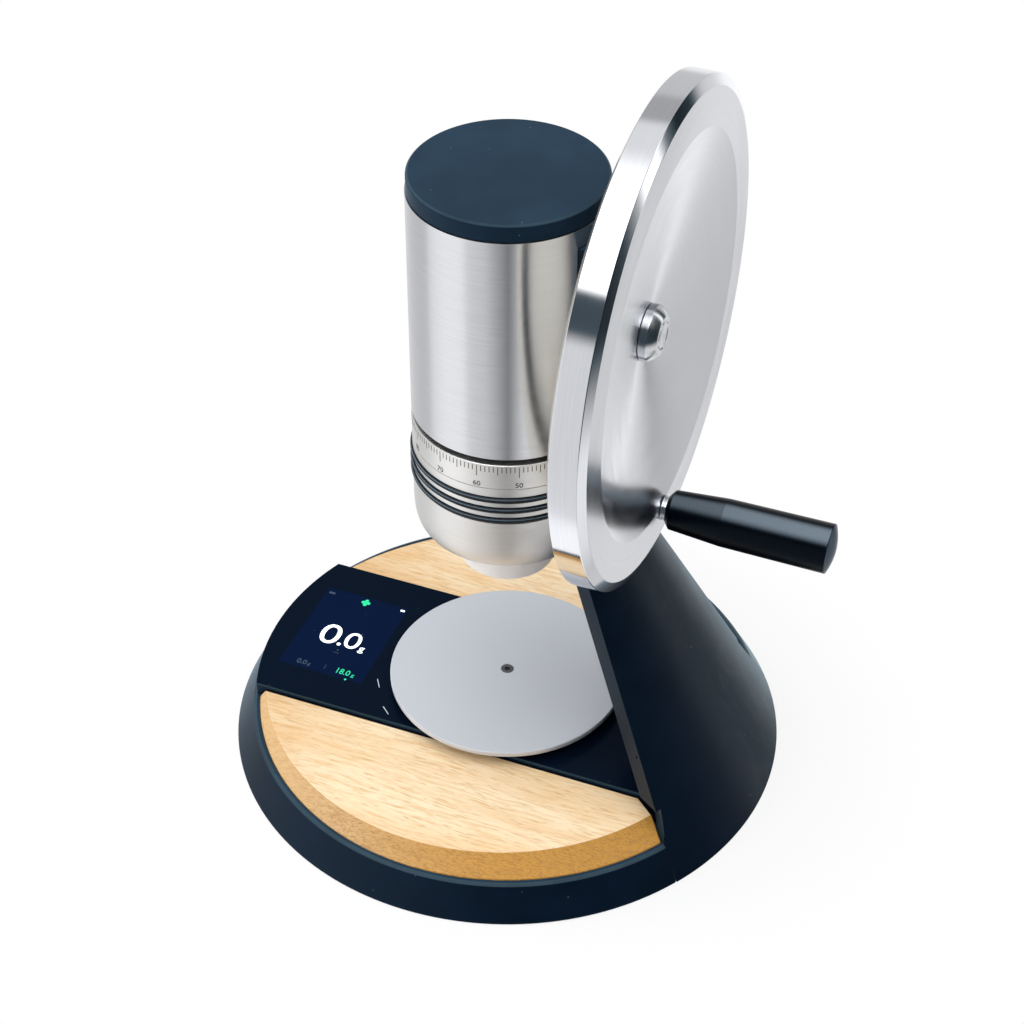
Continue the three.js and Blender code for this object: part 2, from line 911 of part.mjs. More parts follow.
function gearFrame() {
  const ringInner = sleeveCollarRadius - frameRingWidth;
  const arms = Array.from({ length: frameArms }, (_, arm) =>
    block(
      [0, -frameArmWidth / 2, frameBottom],
      [ringInner + frameRingWidth / 2, frameArmWidth / 2, frameTop],
    ).rotateZ(((arm + 1 / 2) * 2 * Math.PI) / frameArms),
  );
  return cut(
    join(
      ring(ringInner, sleeveCollarRadius, frameBottom, frameTop, headSteps),
      ...arms,
      disc(frameBossRadius, frameBossBottom, frameBossTop, innerSteps),
      disc(frameFlangeRadius, frameBossTop - frameFlangeThickness, frameBossTop, headSteps),
    ),
    disc(
      burrBearingRadius + gap,
      burrBearingBottom - gap,
      frameBossTop + overrun,
      innerSteps,
    ),
    disc(shaftHole, frameBossBottom - overrun, frameBossTop, innerSteps),
  );
}

// A quarter of an ellipse from the rim of a dome to its top, as [radius, height] points.
function domeCurve(radius, low, high) {
  return Array.from({ length: curveSteps + 1 }, (_, i) => {
    const angle = (i / curveSteps) * (Math.PI / 2);
    return [i === curveSteps ? 0 : radius * Math.cos(angle), low + (high - low) * Math.sin(angle)];
  });
}

function gearCover() {
  const eaves = coverTop - coverDome;
  const inside = coverRadius - coverWall;
  return cut(
    turned(
      [
        ...domeCurve(inside, eaves, coverTop - coverWall).reverse(),
        [inside, coverBottom],
        [coverRadius, coverBottom],
        ...domeCurve(coverRadius, eaves, coverTop),
      ],
      innerSteps,
    ),
    shaftOpening(0, beyond),
  );
}

function shaftSleeve() {
  const low = coverBottom;
  const high = coverTop + shaftHole + shaftSleeveWall;
  const liner = onShaft(ring(shaftHole, shaftHole + shaftSleeveWall, 0, tubeInner, innerSteps));
  return common(
    cut(liner, disc(coverRadius + gap, low, high, innerSteps)),
    disc(tubeInner - gap, low, high, headSteps),
  );
}

function shaftBearing(start) {
  return ring(shaftRadius + gap, bearingRadius, start, start + bearingWidth, innerSteps);
}

// A bevel gear's teeth on its pitch cone, wide end at zero, with a hub below the wide end.
function bevelGear(hubLength) {
  const narrow = gearTipRadius - gearFace;
  const teeth = toothed(
    turned([[0, 0], [gearTipRadius, 0], [narrow, gearFace], [0, gearFace]], 4 * gearTeeth),
    gearTeeth,
    -gearToothDepth,
    narrow - gearToothDepth,
    beyond,
  );
  return cut(
    join(teeth, disc(gearHubRadius, -hubLength, gearToothDepth, innerSteps)),
    disc(shaftRadius + gap, -hubLength - overrun, gearFace + overrun, innerSteps),
  );
}

function drivenGear() {
  return bevelGear(gearHubLength).translate(0, 0, gearBottom);
}

function burrShaft() {
  return turned(
    [
      [0, burrNutBottom - burrShaftEnd],
      [shaftRadius, burrNutBottom - burrShaftEnd],
      [shaftRadius, coneBurrTop + gap],
      [burrShaftWide, coneBurrTop + gap],
      [burrShaftWide, frameBossBottom - gap],
      [shaftRadius, frameBossBottom - gap],
      [shaftRadius, frameBossTop],
      [burrShaftWide, frameBossTop],
      [burrShaftWide, gearHubBottom - gap],
      [shaftRadius, gearHubBottom - gap],
      [shaftRadius, burrShaftTop],
      [0, burrShaftTop],
    ],
    innerSteps,
  );
}

function coneBurr() {
  const outline = [
    [shaftRadius + gap, coneBurrBottom],
    [coneBurrRadius, coneBurrBottom],
    [coneBurrRadius, coneBurrBottom + coneBurrFoot],
    [coneBurrTopRadius, coneBurrTop],
    [shaftRadius + gap, coneBurrTop],
  ];
  const least = (shaftRadius + coneBurrTopRadius) / 2;
  return toothed(turned(outline, 4 * burrTeeth), burrTeeth, -burrToothDepth, least, beyond);
}

function ringBurr() {
  const outline = [
    [ringBurrInner, collarBottom],
    [ringBurrRadius, collarBottom],
    [ringBurrRadius, collarBottom + ringBurrHeight],
    [ringBurrRadius - ringBurrTopWall, collarBottom + ringBurrHeight],
  ];
  const most = ringBurrRadius - ringBurrTopWall / 2;
  return toothed(turned(outline, 4 * burrTeeth), burrTeeth, burrToothDepth, 0, most);
}

function nut(radius, low, high) {
  return cut(
    hexagon(radius, low, high),
    disc(shaftRadius + gap, low - overrun, high + overrun, innerSteps),
  );
}

// Adjuster

function bowlCurve(foot, top, low, high) {
  const power = 3; // fuller than a circle's quarter
  return Array.from({ length: curveSteps + 1 }, (_, i) => {
    const angle = (i / curveSteps) * (Math.PI / 2);
    const out = Math.sin(angle) ** (2 / power);
    const down = Math.cos(angle) ** (2 / power);
    return [foot + (top - foot) * out, i === curveSteps ? high : high - (high - low) * down];
  });
}

function groundsBowl() {
  const innerTop = bowlTop - bowlFlange;
  const inside = headRadius - bowlWall;
  const bend = bowlBottom + bowlRound;
  return turned(
    [
      [chuteNeckRadius + gap, bowlBottom],
      ...bowlCurve(bowlFootRadius, headRadius, bowlBottom, bend),
      [headRadius, bowlTop],
      [ringBurrInner, bowlTop],
      [ringBurrInner, innerTop],
      [inside, innerTop],
      ...bowlCurve(bowlFootRadius - bowlWall, inside, bowlBottom + bowlWall, bend).reverse(),
      [chuteNeckRadius + gap, bowlBottom + bowlWall],
    ],
    headSteps,
  );
}

function chute() {
  const neckHigh = chuteTop + chuteNeckHeight;
  return turned(
    [
      [chuteFootRadius - chuteWall, chuteBottom],
      [chuteFootRadius, chuteBottom],
      [chuteTopRadius, chuteTop],
      [chuteNeckRadius, chuteTop],
      [chuteNeckRadius, neckHigh],
      [chuteNeckRadius - chuteWall, neckHigh],
      [chuteNeckRadius - chuteWall, chuteTop - chuteWall],
      [chuteTopRadius - chuteWall, chuteTop - chuteWall],
    ],
    headSteps,
  );
}

const gripRingCentres = Array.from(
  { length: gripRings },
  (_, i) => collarBottom + gripRingFirst + i * gripRingPitch,
);

function adjustingCollar() {
  const half = gripRingWidth / 2 + gap;
  const grooves = gripRingCentres.map((centre) =>
    ring(headRadius - gripGrooveDepth, beyond, centre - half, centre + half, headSteps),
  );
  return cut(ring(collarInner, headRadius, collarBottom, collarTop, headSteps), ...grooves);
}

function gripRing(centre) {
  const outer = headRadius + gripRingProud;
  const inner = headRadius - gripGrooveDepth + gap;
  const sides = 8;
  const section = Array.from({ length: sides }, (_, i) => {
    const angle = (i / sides) * 2 * Math.PI;
    return [
      (outer + inner) / 2 + ((outer - inner) / 2) * Math.cos(angle),
      centre + (gripRingWidth / 2) * Math.sin(angle),
    ];
  });
  return turned(section, headSteps);
}

function dialRing() {
  return turned(
    [
      [collarInner, dialBottom],
      [headRadius, dialBottom],
      [headRadius, dialTop - dialLip],
      [headRadius - dialLip, dialTop],
      [collarInner, dialTop],
    ],
    headSteps,
  );
}

// Flywheel set, drawn about its shaft with heights measured along +X

function flywheel() {
  const bore = shaftRadius + gap;
  const slope = (flywheelWidth - flywheelWeb) / (flywheelInnerRadius - hubRadius);
  const pocketRadius = flywheelInnerRadius - flywheelWeb;
  const pocketDepth = (pocketRadius - hubPadRadius) * slope;
  const wheel = turned(
    [
      [bore, flywheelBack],
      [hubPadRadius, flywheelBack],
      [pocketRadius, flywheelBack + pocketDepth],
      [flywheelInnerRadius, flywheelBack],
      [flywheelRadius - flywheelChamferRadial, flywheelBack],
      [flywheelRadius, flywheelBack + flywheelChamferAxial],
      [flywheelRadius, flywheelFront - flywheelChamferAxial],
      [flywheelRadius - flywheelChamferRadial, flywheelFront],
      [flywheelInnerRadius, flywheelFront],
      [hubRadius, hubFace],
      [bore, hubFace],
    ],
    wheelSteps,
  );
  const spindleHole = disc(
    spindleRadius + gap,
    flywheelBack - overrun,
    flywheelFront + overrun,
    innerSteps,
  );
  return cut(wheel, spindleHole.translate(handleRadius, 0, 0));
}

function driveShaft() {
  return turned(
    [
      [0, driveShaftStart],
      [shaftRadius, driveShaftStart],
      [shaftRadius, outerBearingEnd + gap],
      [shaftWide, outerBearingEnd + gap],
      [shaftWide, flywheelBack - gap],
      [shaftRadius, flywheelBack - gap],
      [shaftRadius, nutTop],
      [0, nutTop],
    ],
    innerSteps,
  );
}

function drivePinion() {
  return bevelGear(pinionHubLength).rotateX(Math.PI).translate(0, 0, gearPitchRadius);
}

function hubCap() {
  return turned(
    [
      [0, hubCapCeiling],
      [nutRadius + nutRoom, hubCapCeiling],
      [nutRadius + nutRoom, nutBottom],
      [hubRadius, nutBottom],
      [hubRadius, nutBottom + hubCapCylinder],
      [hubCapFaceRadius, hubCapTop],
      [0, hubCapTop],
    ],
    innerSteps,
  );
}

function handleGrip() {
  const dome = Array.from({ length: curveSteps }, (_, i) => {
    const share = 1 - (i + 1) / curveSteps;
    return [gripEndRadius * share, gripEnd + gripDome * (1 - share ** 2)];
  });
  return turned(
    [
      [0, gripBoreEnd],
      [gripBore, gripBoreEnd],
      [gripBore, gripStart],
      [gripNearRadius, gripStart],
      [gripChamferRadius, gripStart + gripChamferLength],
      [gripWaistRadius, gripStart + gripWaistLength],
      [gripEndRadius, gripEnd],
      ...dome,
    ],
    innerSteps,
  );
}

function aboutSpindle(inner, outer, low, high) {
  return ring(inner, outer, low, high, innerSteps);
}

// The assembly

const stand = group(
  piece("foot_pad", "rubber", disc(padRadius, 0, padThickness, standSteps)),
  piece("base_casting", "darkPaint", baseCasting()),
  piece("front_ballast", "innerSteel", ballast(-1)),
  piece("rear_ballast", "innerSteel", ballast(1)),
  piece("front_wood_panel", "oak", woodPanel(-1)),
  piece("rear_wood_panel", "oak", woodPanel(1)),
  piece("tower", "darkPaint", tower()),
  piece("neck_column", "darkPaint", neckColumn()),
  ...towerScrewPlaces.map((place, i) =>
    piece(`tower_screw_${i + 1}`, "innerSteel", underBase(socketScrew(towerScrewLength), place)),
  ),
  ...neckScrewPlaces.map((place, i) =>
    piece(`neck_screw_${i + 1}`, "innerSteel", alongNeck(socketScrew(neckScrewLength), place)),
  ),
);

const scale = group(
  piece("scale_tray", "darkPaint", scaleTray()),
  piece("scale_glass", "blackGlass", scaleGlass()),
  piece("display_panel", "blackGlass", displayPanel()),
  piece("battery", "plate", inBay(-1, batteryThickness)),
  piece("circuit_board", "board", inBay(1, boardThickness)),
  piece("load_cell", "innerSteel", loadCell()),
);

const pan = group(
  piece("scale_pan", "plate", scalePan()),
  piece("pan_post", "innerSteel", panPost()),
  piece("pan_screw", "innerSteel", panScrew()),
);

const head = group(
  piece("hopper_tube", "steel", hopperTube()),
  ...["lower", "upper"].map((end, i) =>
    piece(
      `tube_screw_${end}`,
      "innerSteel",
      alongNeck(socketScrew(tubeScrewLength), tubeScrewPlaces[i]),
    ),
  ),
  piece("threaded_sleeve", "darkAnodised", threadedSleeve()),
  piece("gear_frame", "innerSteel", gearFrame()),
  piece(
    "burr_bearing",
    "innerSteel",
    ring(shaftRadius + gap, burrBearingRadius, burrBearingBottom, burrBearingTop, innerSteps),
  ),
  piece("gear_cover", "darkAnodised", gearCover()),
  piece("shaft_sleeve", "innerSteel", shaftSleeve()),
  piece("shaft_bearing_inner", "innerSteel", onShaft(shaftBearing(innerBearingStart))),
  piece("shaft_bearing_outer", "innerSteel", onShaft(shaftBearing(outerBearingStart))),
);

const lidSet = group(
  piece("lid", "darkPaint", lid()),
  piece("lid_gasket", "rubber", ring(gasketInner, gasketRadius, gasketBottom, gasketTop, headSteps)),
);

const burrs = group(
  piece("burr_shaft", "innerSteel", burrShaft()),
  piece("driven_gear", "innerSteel", drivenGear()),
  piece("cone_burr", "innerSteel", coneBurr()),
  piece(
    "burr_nut",
    "innerSteel",
    nut(burrNutRadius, burrNutBottom, burrNutBottom + burrNutThickness),
  ),
);

const adjuster = group(
  piece("dial_ring", "steel", dialRing()),
  piece("adjusting_collar", "steel", adjustingCollar()),
  ...gripRingCentres.map((centre, i) => piece(`grip_ring_${i + 1}`, "rubber", gripRing(centre))),
  piece("ring_burr", "innerSteel", ringBurr()),
  piece("grounds_bowl", "steel", groundsBowl()),
  piece("chute", "clearPlastic", chute()),
);

const grip = group(
  piece("handle_grip", "darkAnodised", handleGrip()),
  piece(
    "grip_bush_inner",
    "bronze",
    aboutSpindle(
      spindleRadius + gap,
      bushRadius,
      innerBushStart,
      innerBushStart + bushLength,
    ),
  ),
  piece(
    "grip_bush_outer",
    "bronze",
    aboutSpindle(
      spindleRadius + gap,
      bushRadius,
      outerBushStart,
      outerBushStart + bushLength,
    ),
  ),
);

const handle = group(
  piece(
    "handle_spindle",
    "innerSteel",
    disc(spindleRadius, flywheelBack + spindleRecess, spindleEnd, innerSteps),
  ),
  piece(
    "handle_collar",
    "steel",
    aboutSpindle(
      spindleRadius + gap,
      handleCollarRadius,
      collarSeat,
      collarSeat + handleCollarLength,
    ),
  ),
  piece(
    "spindle_washer",
    "innerSteel",
    aboutSpindle(spindleRadius + gap, bushRadius, washerBottom, washerTop),
  ),
  grip,
);
handle.position.x = handleRadius;

const wheelSet = group(
  piece("flywheel", "steel", flywheel()),
  piece("drive_shaft", "innerSteel", driveShaft()),
  piece("drive_pinion", "innerSteel", drivePinion()),
  piece("flywheel_nut", "innerSteel", nut(nutRadius, nutBottom, nutTop)),
  piece("hub_cap", "steel", hubCap()),
  handle,
);
wheelSet.rotation.y = Math.PI / 2;
wheelSet.position.z = shaftHeight;

const grinder = group(stand, scale, pan, head, lidSet, burrs, adjuster, wheelSet);

export default grinder;
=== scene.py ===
"""A manual coffee grinder: bean tube, dial, flywheel with hand grip, tower and weighing base.

Blender 4.5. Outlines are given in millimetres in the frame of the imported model: +Z up, the origin
on the floor under the burr's axis, +X along the flywheel's shaft.
"""

import math

import bmesh
import bpy
from mathutils import Matrix, Vector


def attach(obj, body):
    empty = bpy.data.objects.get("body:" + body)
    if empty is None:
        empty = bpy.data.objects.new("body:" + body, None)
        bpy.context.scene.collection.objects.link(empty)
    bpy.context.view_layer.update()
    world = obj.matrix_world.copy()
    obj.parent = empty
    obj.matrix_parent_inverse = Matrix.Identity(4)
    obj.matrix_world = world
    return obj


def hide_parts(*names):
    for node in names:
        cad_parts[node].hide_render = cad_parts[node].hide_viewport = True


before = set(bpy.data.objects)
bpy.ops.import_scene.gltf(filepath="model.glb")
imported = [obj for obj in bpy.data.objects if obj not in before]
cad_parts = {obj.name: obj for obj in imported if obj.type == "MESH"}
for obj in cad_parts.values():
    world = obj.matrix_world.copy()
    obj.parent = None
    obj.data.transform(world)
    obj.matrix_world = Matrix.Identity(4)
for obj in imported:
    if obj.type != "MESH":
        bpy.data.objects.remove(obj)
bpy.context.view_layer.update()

MM = 0.001
FULL_TURN = 2 * math.pi

# Sizes that several pieces share, in millimetres
BASE_RADIUS = 140
CONE_HEIGHT = 250
TOWER_WALL = 12
TOWER_HALF_ANGLE = 32.6
RIM_HEIGHT = 18
RIM_INNER = 127.42
WOOD_TOP = 23
WOOD_EDGE = 50.5
WOOD_FOOT = 10.4
INLAY_RADIUS = 127.12
SCALE_HALF_WIDTH = 49.8
SCALE_TOP = 26
SCALE_END_RADIUS = 128.82
HEAD_RADIUS = 44.7
COLLAR_INNER = 40.4
TUBE_BOTTOM = 205.3
TUBE_TOP = 319.3
COLLAR_BOTTOM = 168.3
SHAFT_HEIGHT = 260.8
WHEEL_BACK = 60.3
WHEEL_FRONT = 77.4
WHEEL_RADIUS = 115.1
WHEEL_BEVEL = 109.9  # where the flat ring ends and the bevel starts
DISH_RADIUS = 92.4
DISH_FLOOR = 65
HUB_RADIUS = 13
GRIP_HEIGHT = 164.8
NECK_OUTER = 58.3
RING_STEP = 5.9
GRIP_CREASE = 107.3
RING_CENTRES = (169.95, 175.85, 181.75)
GAP = 0.3
MARK = 0.03  # half the thickness of a printed or lit mark

# Points in a full turn
COARSE_TURN = 64
FINE_TURN = 192
WHEEL_TURN = 288


def cone_radius(height):
    return BASE_RADIUS * (1 - height / CONE_HEIGHT)


# ---- shapes


def outline(shape, points, closed):
    """Puts (radius, height) points in the X-Z plane and joins them in order."""
    verts = [shape.verts.new((radius * MM, 0, height * MM)) for radius, height in points]
    pairs = list(zip(verts, verts[1:]))
    if closed:
        pairs.append((verts[-1], verts[0]))
    return verts, [shape.edges.new(pair) for pair in pairs]


def close_up(shape):
    """Merges doubled points and turns every face outwards."""
    bmesh.ops.remove_doubles(shape, verts=shape.verts, dist=1e-6)
    bmesh.ops.recalc_face_normals(shape, faces=shape.faces)
    return shape


def turned(points, steps=FINE_TURN, closed=False):
    """A piece off the lathe: its outline starts and ends on the axis, or closes on itself."""
    shape = bmesh.new()
    verts, edges = outline(shape, points, closed)
    bmesh.ops.spin(
        shape, geom=verts + edges, cent=(0, 0, 0), axis=(0, 0, 1), dvec=(0, 0, 0),
        angle=FULL_TURN, steps=steps, use_merge=True, use_duplicate=False,
    )
    return close_up(shape)


def disc(radius, low, high, steps=COARSE_TURN):
    return turned([(0, low), (radius, low), (radius, high), (0, high)], steps)


def tube_of(inner, outer, low, high, steps=FINE_TURN):
    return turned([(inner, low), (outer, low), (outer, high), (inner, high)], steps, closed=True)


def wedge(points, half_angle, steps):
    """The solid that an outline sweeps from one side of +X to the other."""
    shape = bmesh.new()
    verts, edges = outline(shape, points, closed=True)
    face = shape.faces.new(verts)
    swing = math.radians(half_angle)
    bmesh.ops.rotate(shape, verts=verts, cent=(0, 0, 0), matrix=Matrix.Rotation(-swing, 3, "Z"))
    bmesh.ops.spin(
        shape, geom=verts + edges + [face], cent=(0, 0, 0), axis=(0, 0, 1), dvec=(0, 0, 0),
        angle=2 * swing, steps=steps, use_merge=False, use_duplicate=False,
    )
    return close_up(shape)


def prism(points, low, high):
    """A solid from its outline seen from above."""
    shape = bmesh.new()
    face = shape.faces.new([shape.verts.new((x * MM, y * MM, low * MM)) for x, y in points])
    risen = bmesh.ops.extrude_face_region(shape, geom=[face])["geom"]
    bmesh.ops.translate(
        shape,
        verts=[part for part in risen if isinstance(part, bmesh.types.BMVert)],
        vec=(0, 0, (high - low) * MM),
    )
    return close_up(shape)


def block(low, high):
    return prism(
        [(low[0], low[1]), (high[0], low[1]), (high[0], high[1]), (low[0], high[1])],
        low[2], high[2],
    )


def moved(shape, x=0.0, y=0.0, z=0.0):
    bmesh.ops.translate(shape, verts=shape.verts, vec=Vector((x, y, z)) * MM)
    return shape


def swung(shape, angle, axis):
    bmesh.ops.rotate(
        shape, verts=shape.verts, cent=(0, 0, 0), matrix=Matrix.Rotation(angle, 3, axis)
    )
    return shape


def along_x(shape, height=SHAFT_HEIGHT):
    """Lays a turned piece on a shaft at a height: its own height then runs along +X."""
    return moved(swung(shape, math.pi / 2, "Y"), z=height)


def sliced(shape, point, direction):
    """Takes away what lies past a plane and closes the cut."""
    geometry = shape.verts[:] + shape.edges[:] + shape.faces[:]
    cut = bmesh.ops.bisect_plane(
        shape, geom=geometry, dist=1e-7, plane_co=Vector(point) * MM, plane_no=direction,
        clear_outer=True,
    )["geom_cut"]
    edges = [part for part in cut if isinstance(part, bmesh.types.BMEdge)]
    bmesh.ops.holes_fill(shape, edges=edges)
    return close_up(shape)


def eased(shape, width, segments=2, least=30, where=None):
    """Rounds the sharp edges over."""
    edges = [
        edge for edge in shape.edges
        if len(edge.link_faces) == 2 and edge.calc_face_angle() > math.radians(least)
        and (where is None or where(edge))
    ]
    bmesh.ops.bevel(
        shape, geom=edges, offset=width * MM, offset_type="OFFSET", affect="EDGES",
        segments=segments, profile=0.5, material=-1, clamp_overlap=True,
    )
    return shape


def new_object(name, shape):
    mesh = bpy.data.meshes.new(name)
    shape.to_mesh(mesh)
    shape.free()
    made = bpy.data.objects.new(name, mesh)
    bpy.context.scene.collection.objects.link(made)
    return made


def applied(made):
    """The object's mesh with its modifiers worked in."""
    bpy.context.view_layer.update()
    evaluated = made.evaluated_get(bpy.context.evaluated_depsgraph_get())
    return bpy.data.meshes.new_from_object(evaluated)


def discard(made):
    mesh = made.data
    bpy.data.objects.remove(made)
    bpy.data.meshes.remove(mesh)


def carved(shape, *tools, operation="DIFFERENCE"):
    """A solid after others are cut out of it, or joined to it."""
    blank = new_object("blank", shape)
    cutters = [new_object("cutter", tool) for tool in tools]
    for cutter in cutters:
        step = blank.modifiers.new("cut", "BOOLEAN")
        step.operation = operation
        step.solver = "EXACT"
        step.object = cutter
    result = applied(blank)
    left = bmesh.new()
    left.from_mesh(result)
    bpy.data.meshes.remove(result)
    for used in [blank, *cutters]:
        discard(used)
    bmesh.ops.remove_doubles(left, verts=left.verts, dist=1e-6)
    return left


def piece(name, shape, finish, body, nodes=(), sharp=50, crease_at=None):
    """Makes a finished piece of a shape and lets it ride on a body. A crease runs round at an X."""
    made = new_object(name, shape)
    made.data.materials.append(finish)
    made.data.shade_smooth()
    made.data.set_sharp_from_angle(angle=math.radians(sharp))
    if crease_at:
        places = [vert.co.x for vert in made.data.vertices]
        for edge in made.data.edges:
            if all(abs(places[end] - crease_at * MM) < MM / 100 for end in edge.vertices):
                edge.use_edge_sharp = True
    weighting = made.modifiers.new("flat_faces", "WEIGHTED_NORMAL")
    weighting.keep_sharp = True
    rough, made.data = made.data, applied(made)
    made.modifiers.clear()
    bpy.data.meshes.remove(rough)
    made.data.name = name
    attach(made, body)
    if nodes:
        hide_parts(*nodes)
    return made


def figures(text, height, weight=0.0, width=None, thickness=0.06):
    """Flat figures in the X-Y plane, centred on the origin, as a thin solid."""
    curve = bpy.data.curves.new("figures", "FONT")
    curve.body = text
    curve.offset = weight
    curve.extrude = 0.5
    holder = bpy.data.objects.new("figures", curve)
    bpy.context.scene.collection.objects.link(holder)
    mesh = applied(holder)
    shape = bmesh.new()
    shape.from_mesh(mesh)
    bpy.data.objects.remove(holder)
    bpy.data.curves.remove(curve)
    bpy.data.meshes.remove(mesh)
    bmesh.ops.remove_doubles(shape, verts=shape.verts, dist=1e-6)
    spans = [(min(c), max(c)) for c in zip(*(vert.co[:2] for vert in shape.verts))]
    (left, right), (low, high) = spans
    bmesh.ops.translate(shape, verts=shape.verts, vec=(-(left + right) / 2, -(low + high) / 2, 0))
    tall = height * MM / (high - low)
    wide = width * MM / (right - left) if width else tall
    bmesh.ops.scale(shape, verts=shape.verts, vec=(wide, tall, thickness * MM))
    return shape


def gathered(shapes):
    """Several shapes in one."""
    whole = bmesh.new()
    for shape in shapes:
        mesh = bpy.data.meshes.new("part")
        shape.to_mesh(mesh)
        shape.free()
        whole.from_mesh(mesh)
        bpy.data.meshes.remove(mesh)
    return whole


# ---- shader wiring


class Wiring:
    """Adds nodes to one node tree and joins them."""

    def __init__(self, tree):
        self.tree = tree

    def node(self, kind, **settings):
        made = self.tree.nodes.new("ShaderNode" + kind)
        for name, value in settings.items():
            setattr(made, name, value)
        return made

    def feed(self, socket, value):
        if isinstance(value, bpy.types.NodeSocket):
            self.tree.links.new(value, socket)
        else:
            socket.default_value = value

    def feed_all(self, made, values):
        for name, value in values.items():
            self.feed(made.inputs[name], value)
        return made

    def math(self, operation, *values, clamp=False):
        made = self.node("Math", operation=operation, use_clamp=clamp)
        for socket, value in zip(made.inputs, values):
            self.feed(socket, value)
        return made.outputs[0]

    def times(self, first, second):
        return self.math("MULTIPLY", first, second)

    def vector(self, operation, *values):
        made = self.node("VectorMath", operation=operation)
        for socket, value in zip(made.inputs, values):
            self.feed(socket, value)
        return made.outputs["Value" if operation in ("LENGTH", "DOT_PRODUCT") else "Vector"]

    def split(self, vector):
        made = self.node("SeparateXYZ")
        self.feed(made.inputs[0], vector)
        return made.outputs

    def join(self, x, y, z):
        made = self.node("CombineXYZ")
        for socket, value in zip(made.inputs, (x, y, z)):
            self.feed(socket, value)
        return made.outputs[0]

    def stretch(self, vector, scale):
        return self.vector("MULTIPLY", vector, scale)

    def ease(self, value, low, high, start=0.0, end=1.0):
        """Goes smoothly from start to end while the value goes from low to high."""
        made = self.node("MapRange", interpolation_type="SMOOTHSTEP")
        for socket, given in zip(made.inputs, (value, low, high, start, end)):
            self.feed(socket, given)
        return made.outputs[0]

    def window(self, value, low, high, soft):
        """1 between low and high, 0 outside, with soft ends."""
        return self.times(
            self.ease(value, low - soft, low + soft),
            self.ease(value, high - soft, high + soft, 1.0, 0.0),
        )

    def mix(self, factor, first, second, blend="MIX"):
        made = self.node("Mix", data_type="RGBA", blend_type=blend)
        self.feed(made.inputs[0], factor)
        self.feed(made.inputs[6], first)
        self.feed(made.inputs[7], second)
        return made.outputs[2]

    def noise(self, vector, scale, detail=2.0, roughness=0.5, distortion=0.0):
        made = self.node("TexNoise")
        self.feed_all(made, {
            "Vector": vector, "Scale": scale, "Detail": detail,
            "Roughness": roughness, "Distortion": distortion,
        })
        return made.outputs[0]

    def coordinates(self):
        return self.node("TexCoord").outputs["Object"]

    def normal(self):
        return self.node("NewGeometry").outputs["Normal"]

    def placed(self, group, **values):
        made = self.node("Group", node_tree=group)
        for name, value in values.items():
            self.feed(made.inputs[name], value)
        return made.outputs


def new_group(name, inputs, outputs):
    """An empty node group with the given sockets, its wiring, its inputs and its output node."""
    group = bpy.data.node_groups.new(name, "ShaderNodeTree")
    kinds = {"V": "NodeSocketVector", "F": "NodeSocketFloat", "C": "NodeSocketColor"}
    for label, kind in inputs.items():
        group.interface.new_socket(label, in_out="INPUT", socket_type=kinds[kind])
    for label, kind in outputs.items():
        group.interface.new_socket(label, in_out="OUTPUT", socket_type=kinds[kind])
    given = group.nodes.new("NodeGroupInput").outputs
    result = group.nodes.new("NodeGroupOutput").inputs
    return group, Wiring(group), given, result


def rgb(red, green, blue):
    return (red, green, blue, 1.0)


def grey(level):
    return (level, level, level, 1.0)


# ---- the studio

# Brightness round the room, by the direction in degrees: 0 is the photographer's side, 90 the
# flywheel's. This is what a standing wall mirrors, so mostly the light on the floor.
ROUND_THE_ROOM = [
    (-180, 1.12), (-165, 0.92), (-140, 0.85), (-113, 0.72), (-96, 0.69), (-82, 0.7), (-77, 1.0),
    (-66, 1.08), (-54, 1.16), (-34, 1.14), (-29, 1.06), (-25, 0.86), (-14, 0.8), (-5, 0.76),
    (4, 0.68), (13, 0.5), (22, 0.27), (31, 0.62), (40, 0.95), (62, 0.95), (80, 0.85), (95, 0.9),
    (110, 1.0), (125, 0.95), (139, 0.64), (150, 0.66), (158, 0.72), (164, 0.8), (171, 1.1),
]
# The same above the floor on the dark side, where one narrow lamp stands.
DARK_SIDE = [
    (-6, 0.5), (6, 0.12), (50, 0.08), (75, 0.035), (112, 0.025), (120, 0.05), (126, 0.5),
    (129, 1.9), (134, 1.7), (138, 0.2), (143, 0.02), (151, 0.05), (160, 0.85),
]
SOFTBOX_FRONT, SOFTBOX_BACK = 2.7, 0.9
BACK_WALL_LEVEL = 0.64
BELOW_LEVEL = 1.2
DARK_TINT = rgb(0.5, 0.8, 1.0)


def ramp(wires, azimuth, levels):
    """A run of grey levels round the room."""
    made = wires.node("ValToRGB")
    stops = made.color_ramp.elements
    stops.remove(stops[-1])
    for number, (turn, level) in enumerate(levels):
        place = (turn + 180) / 360
        stop = stops[0] if number == 0 else stops.new(place)
        stop.position = place
        stop.color = grey(level)
    wires.feed(made.inputs[0], wires.math("MULTIPLY_ADD", azimuth, 1 / 360, 0.5))
    return made.outputs[0]


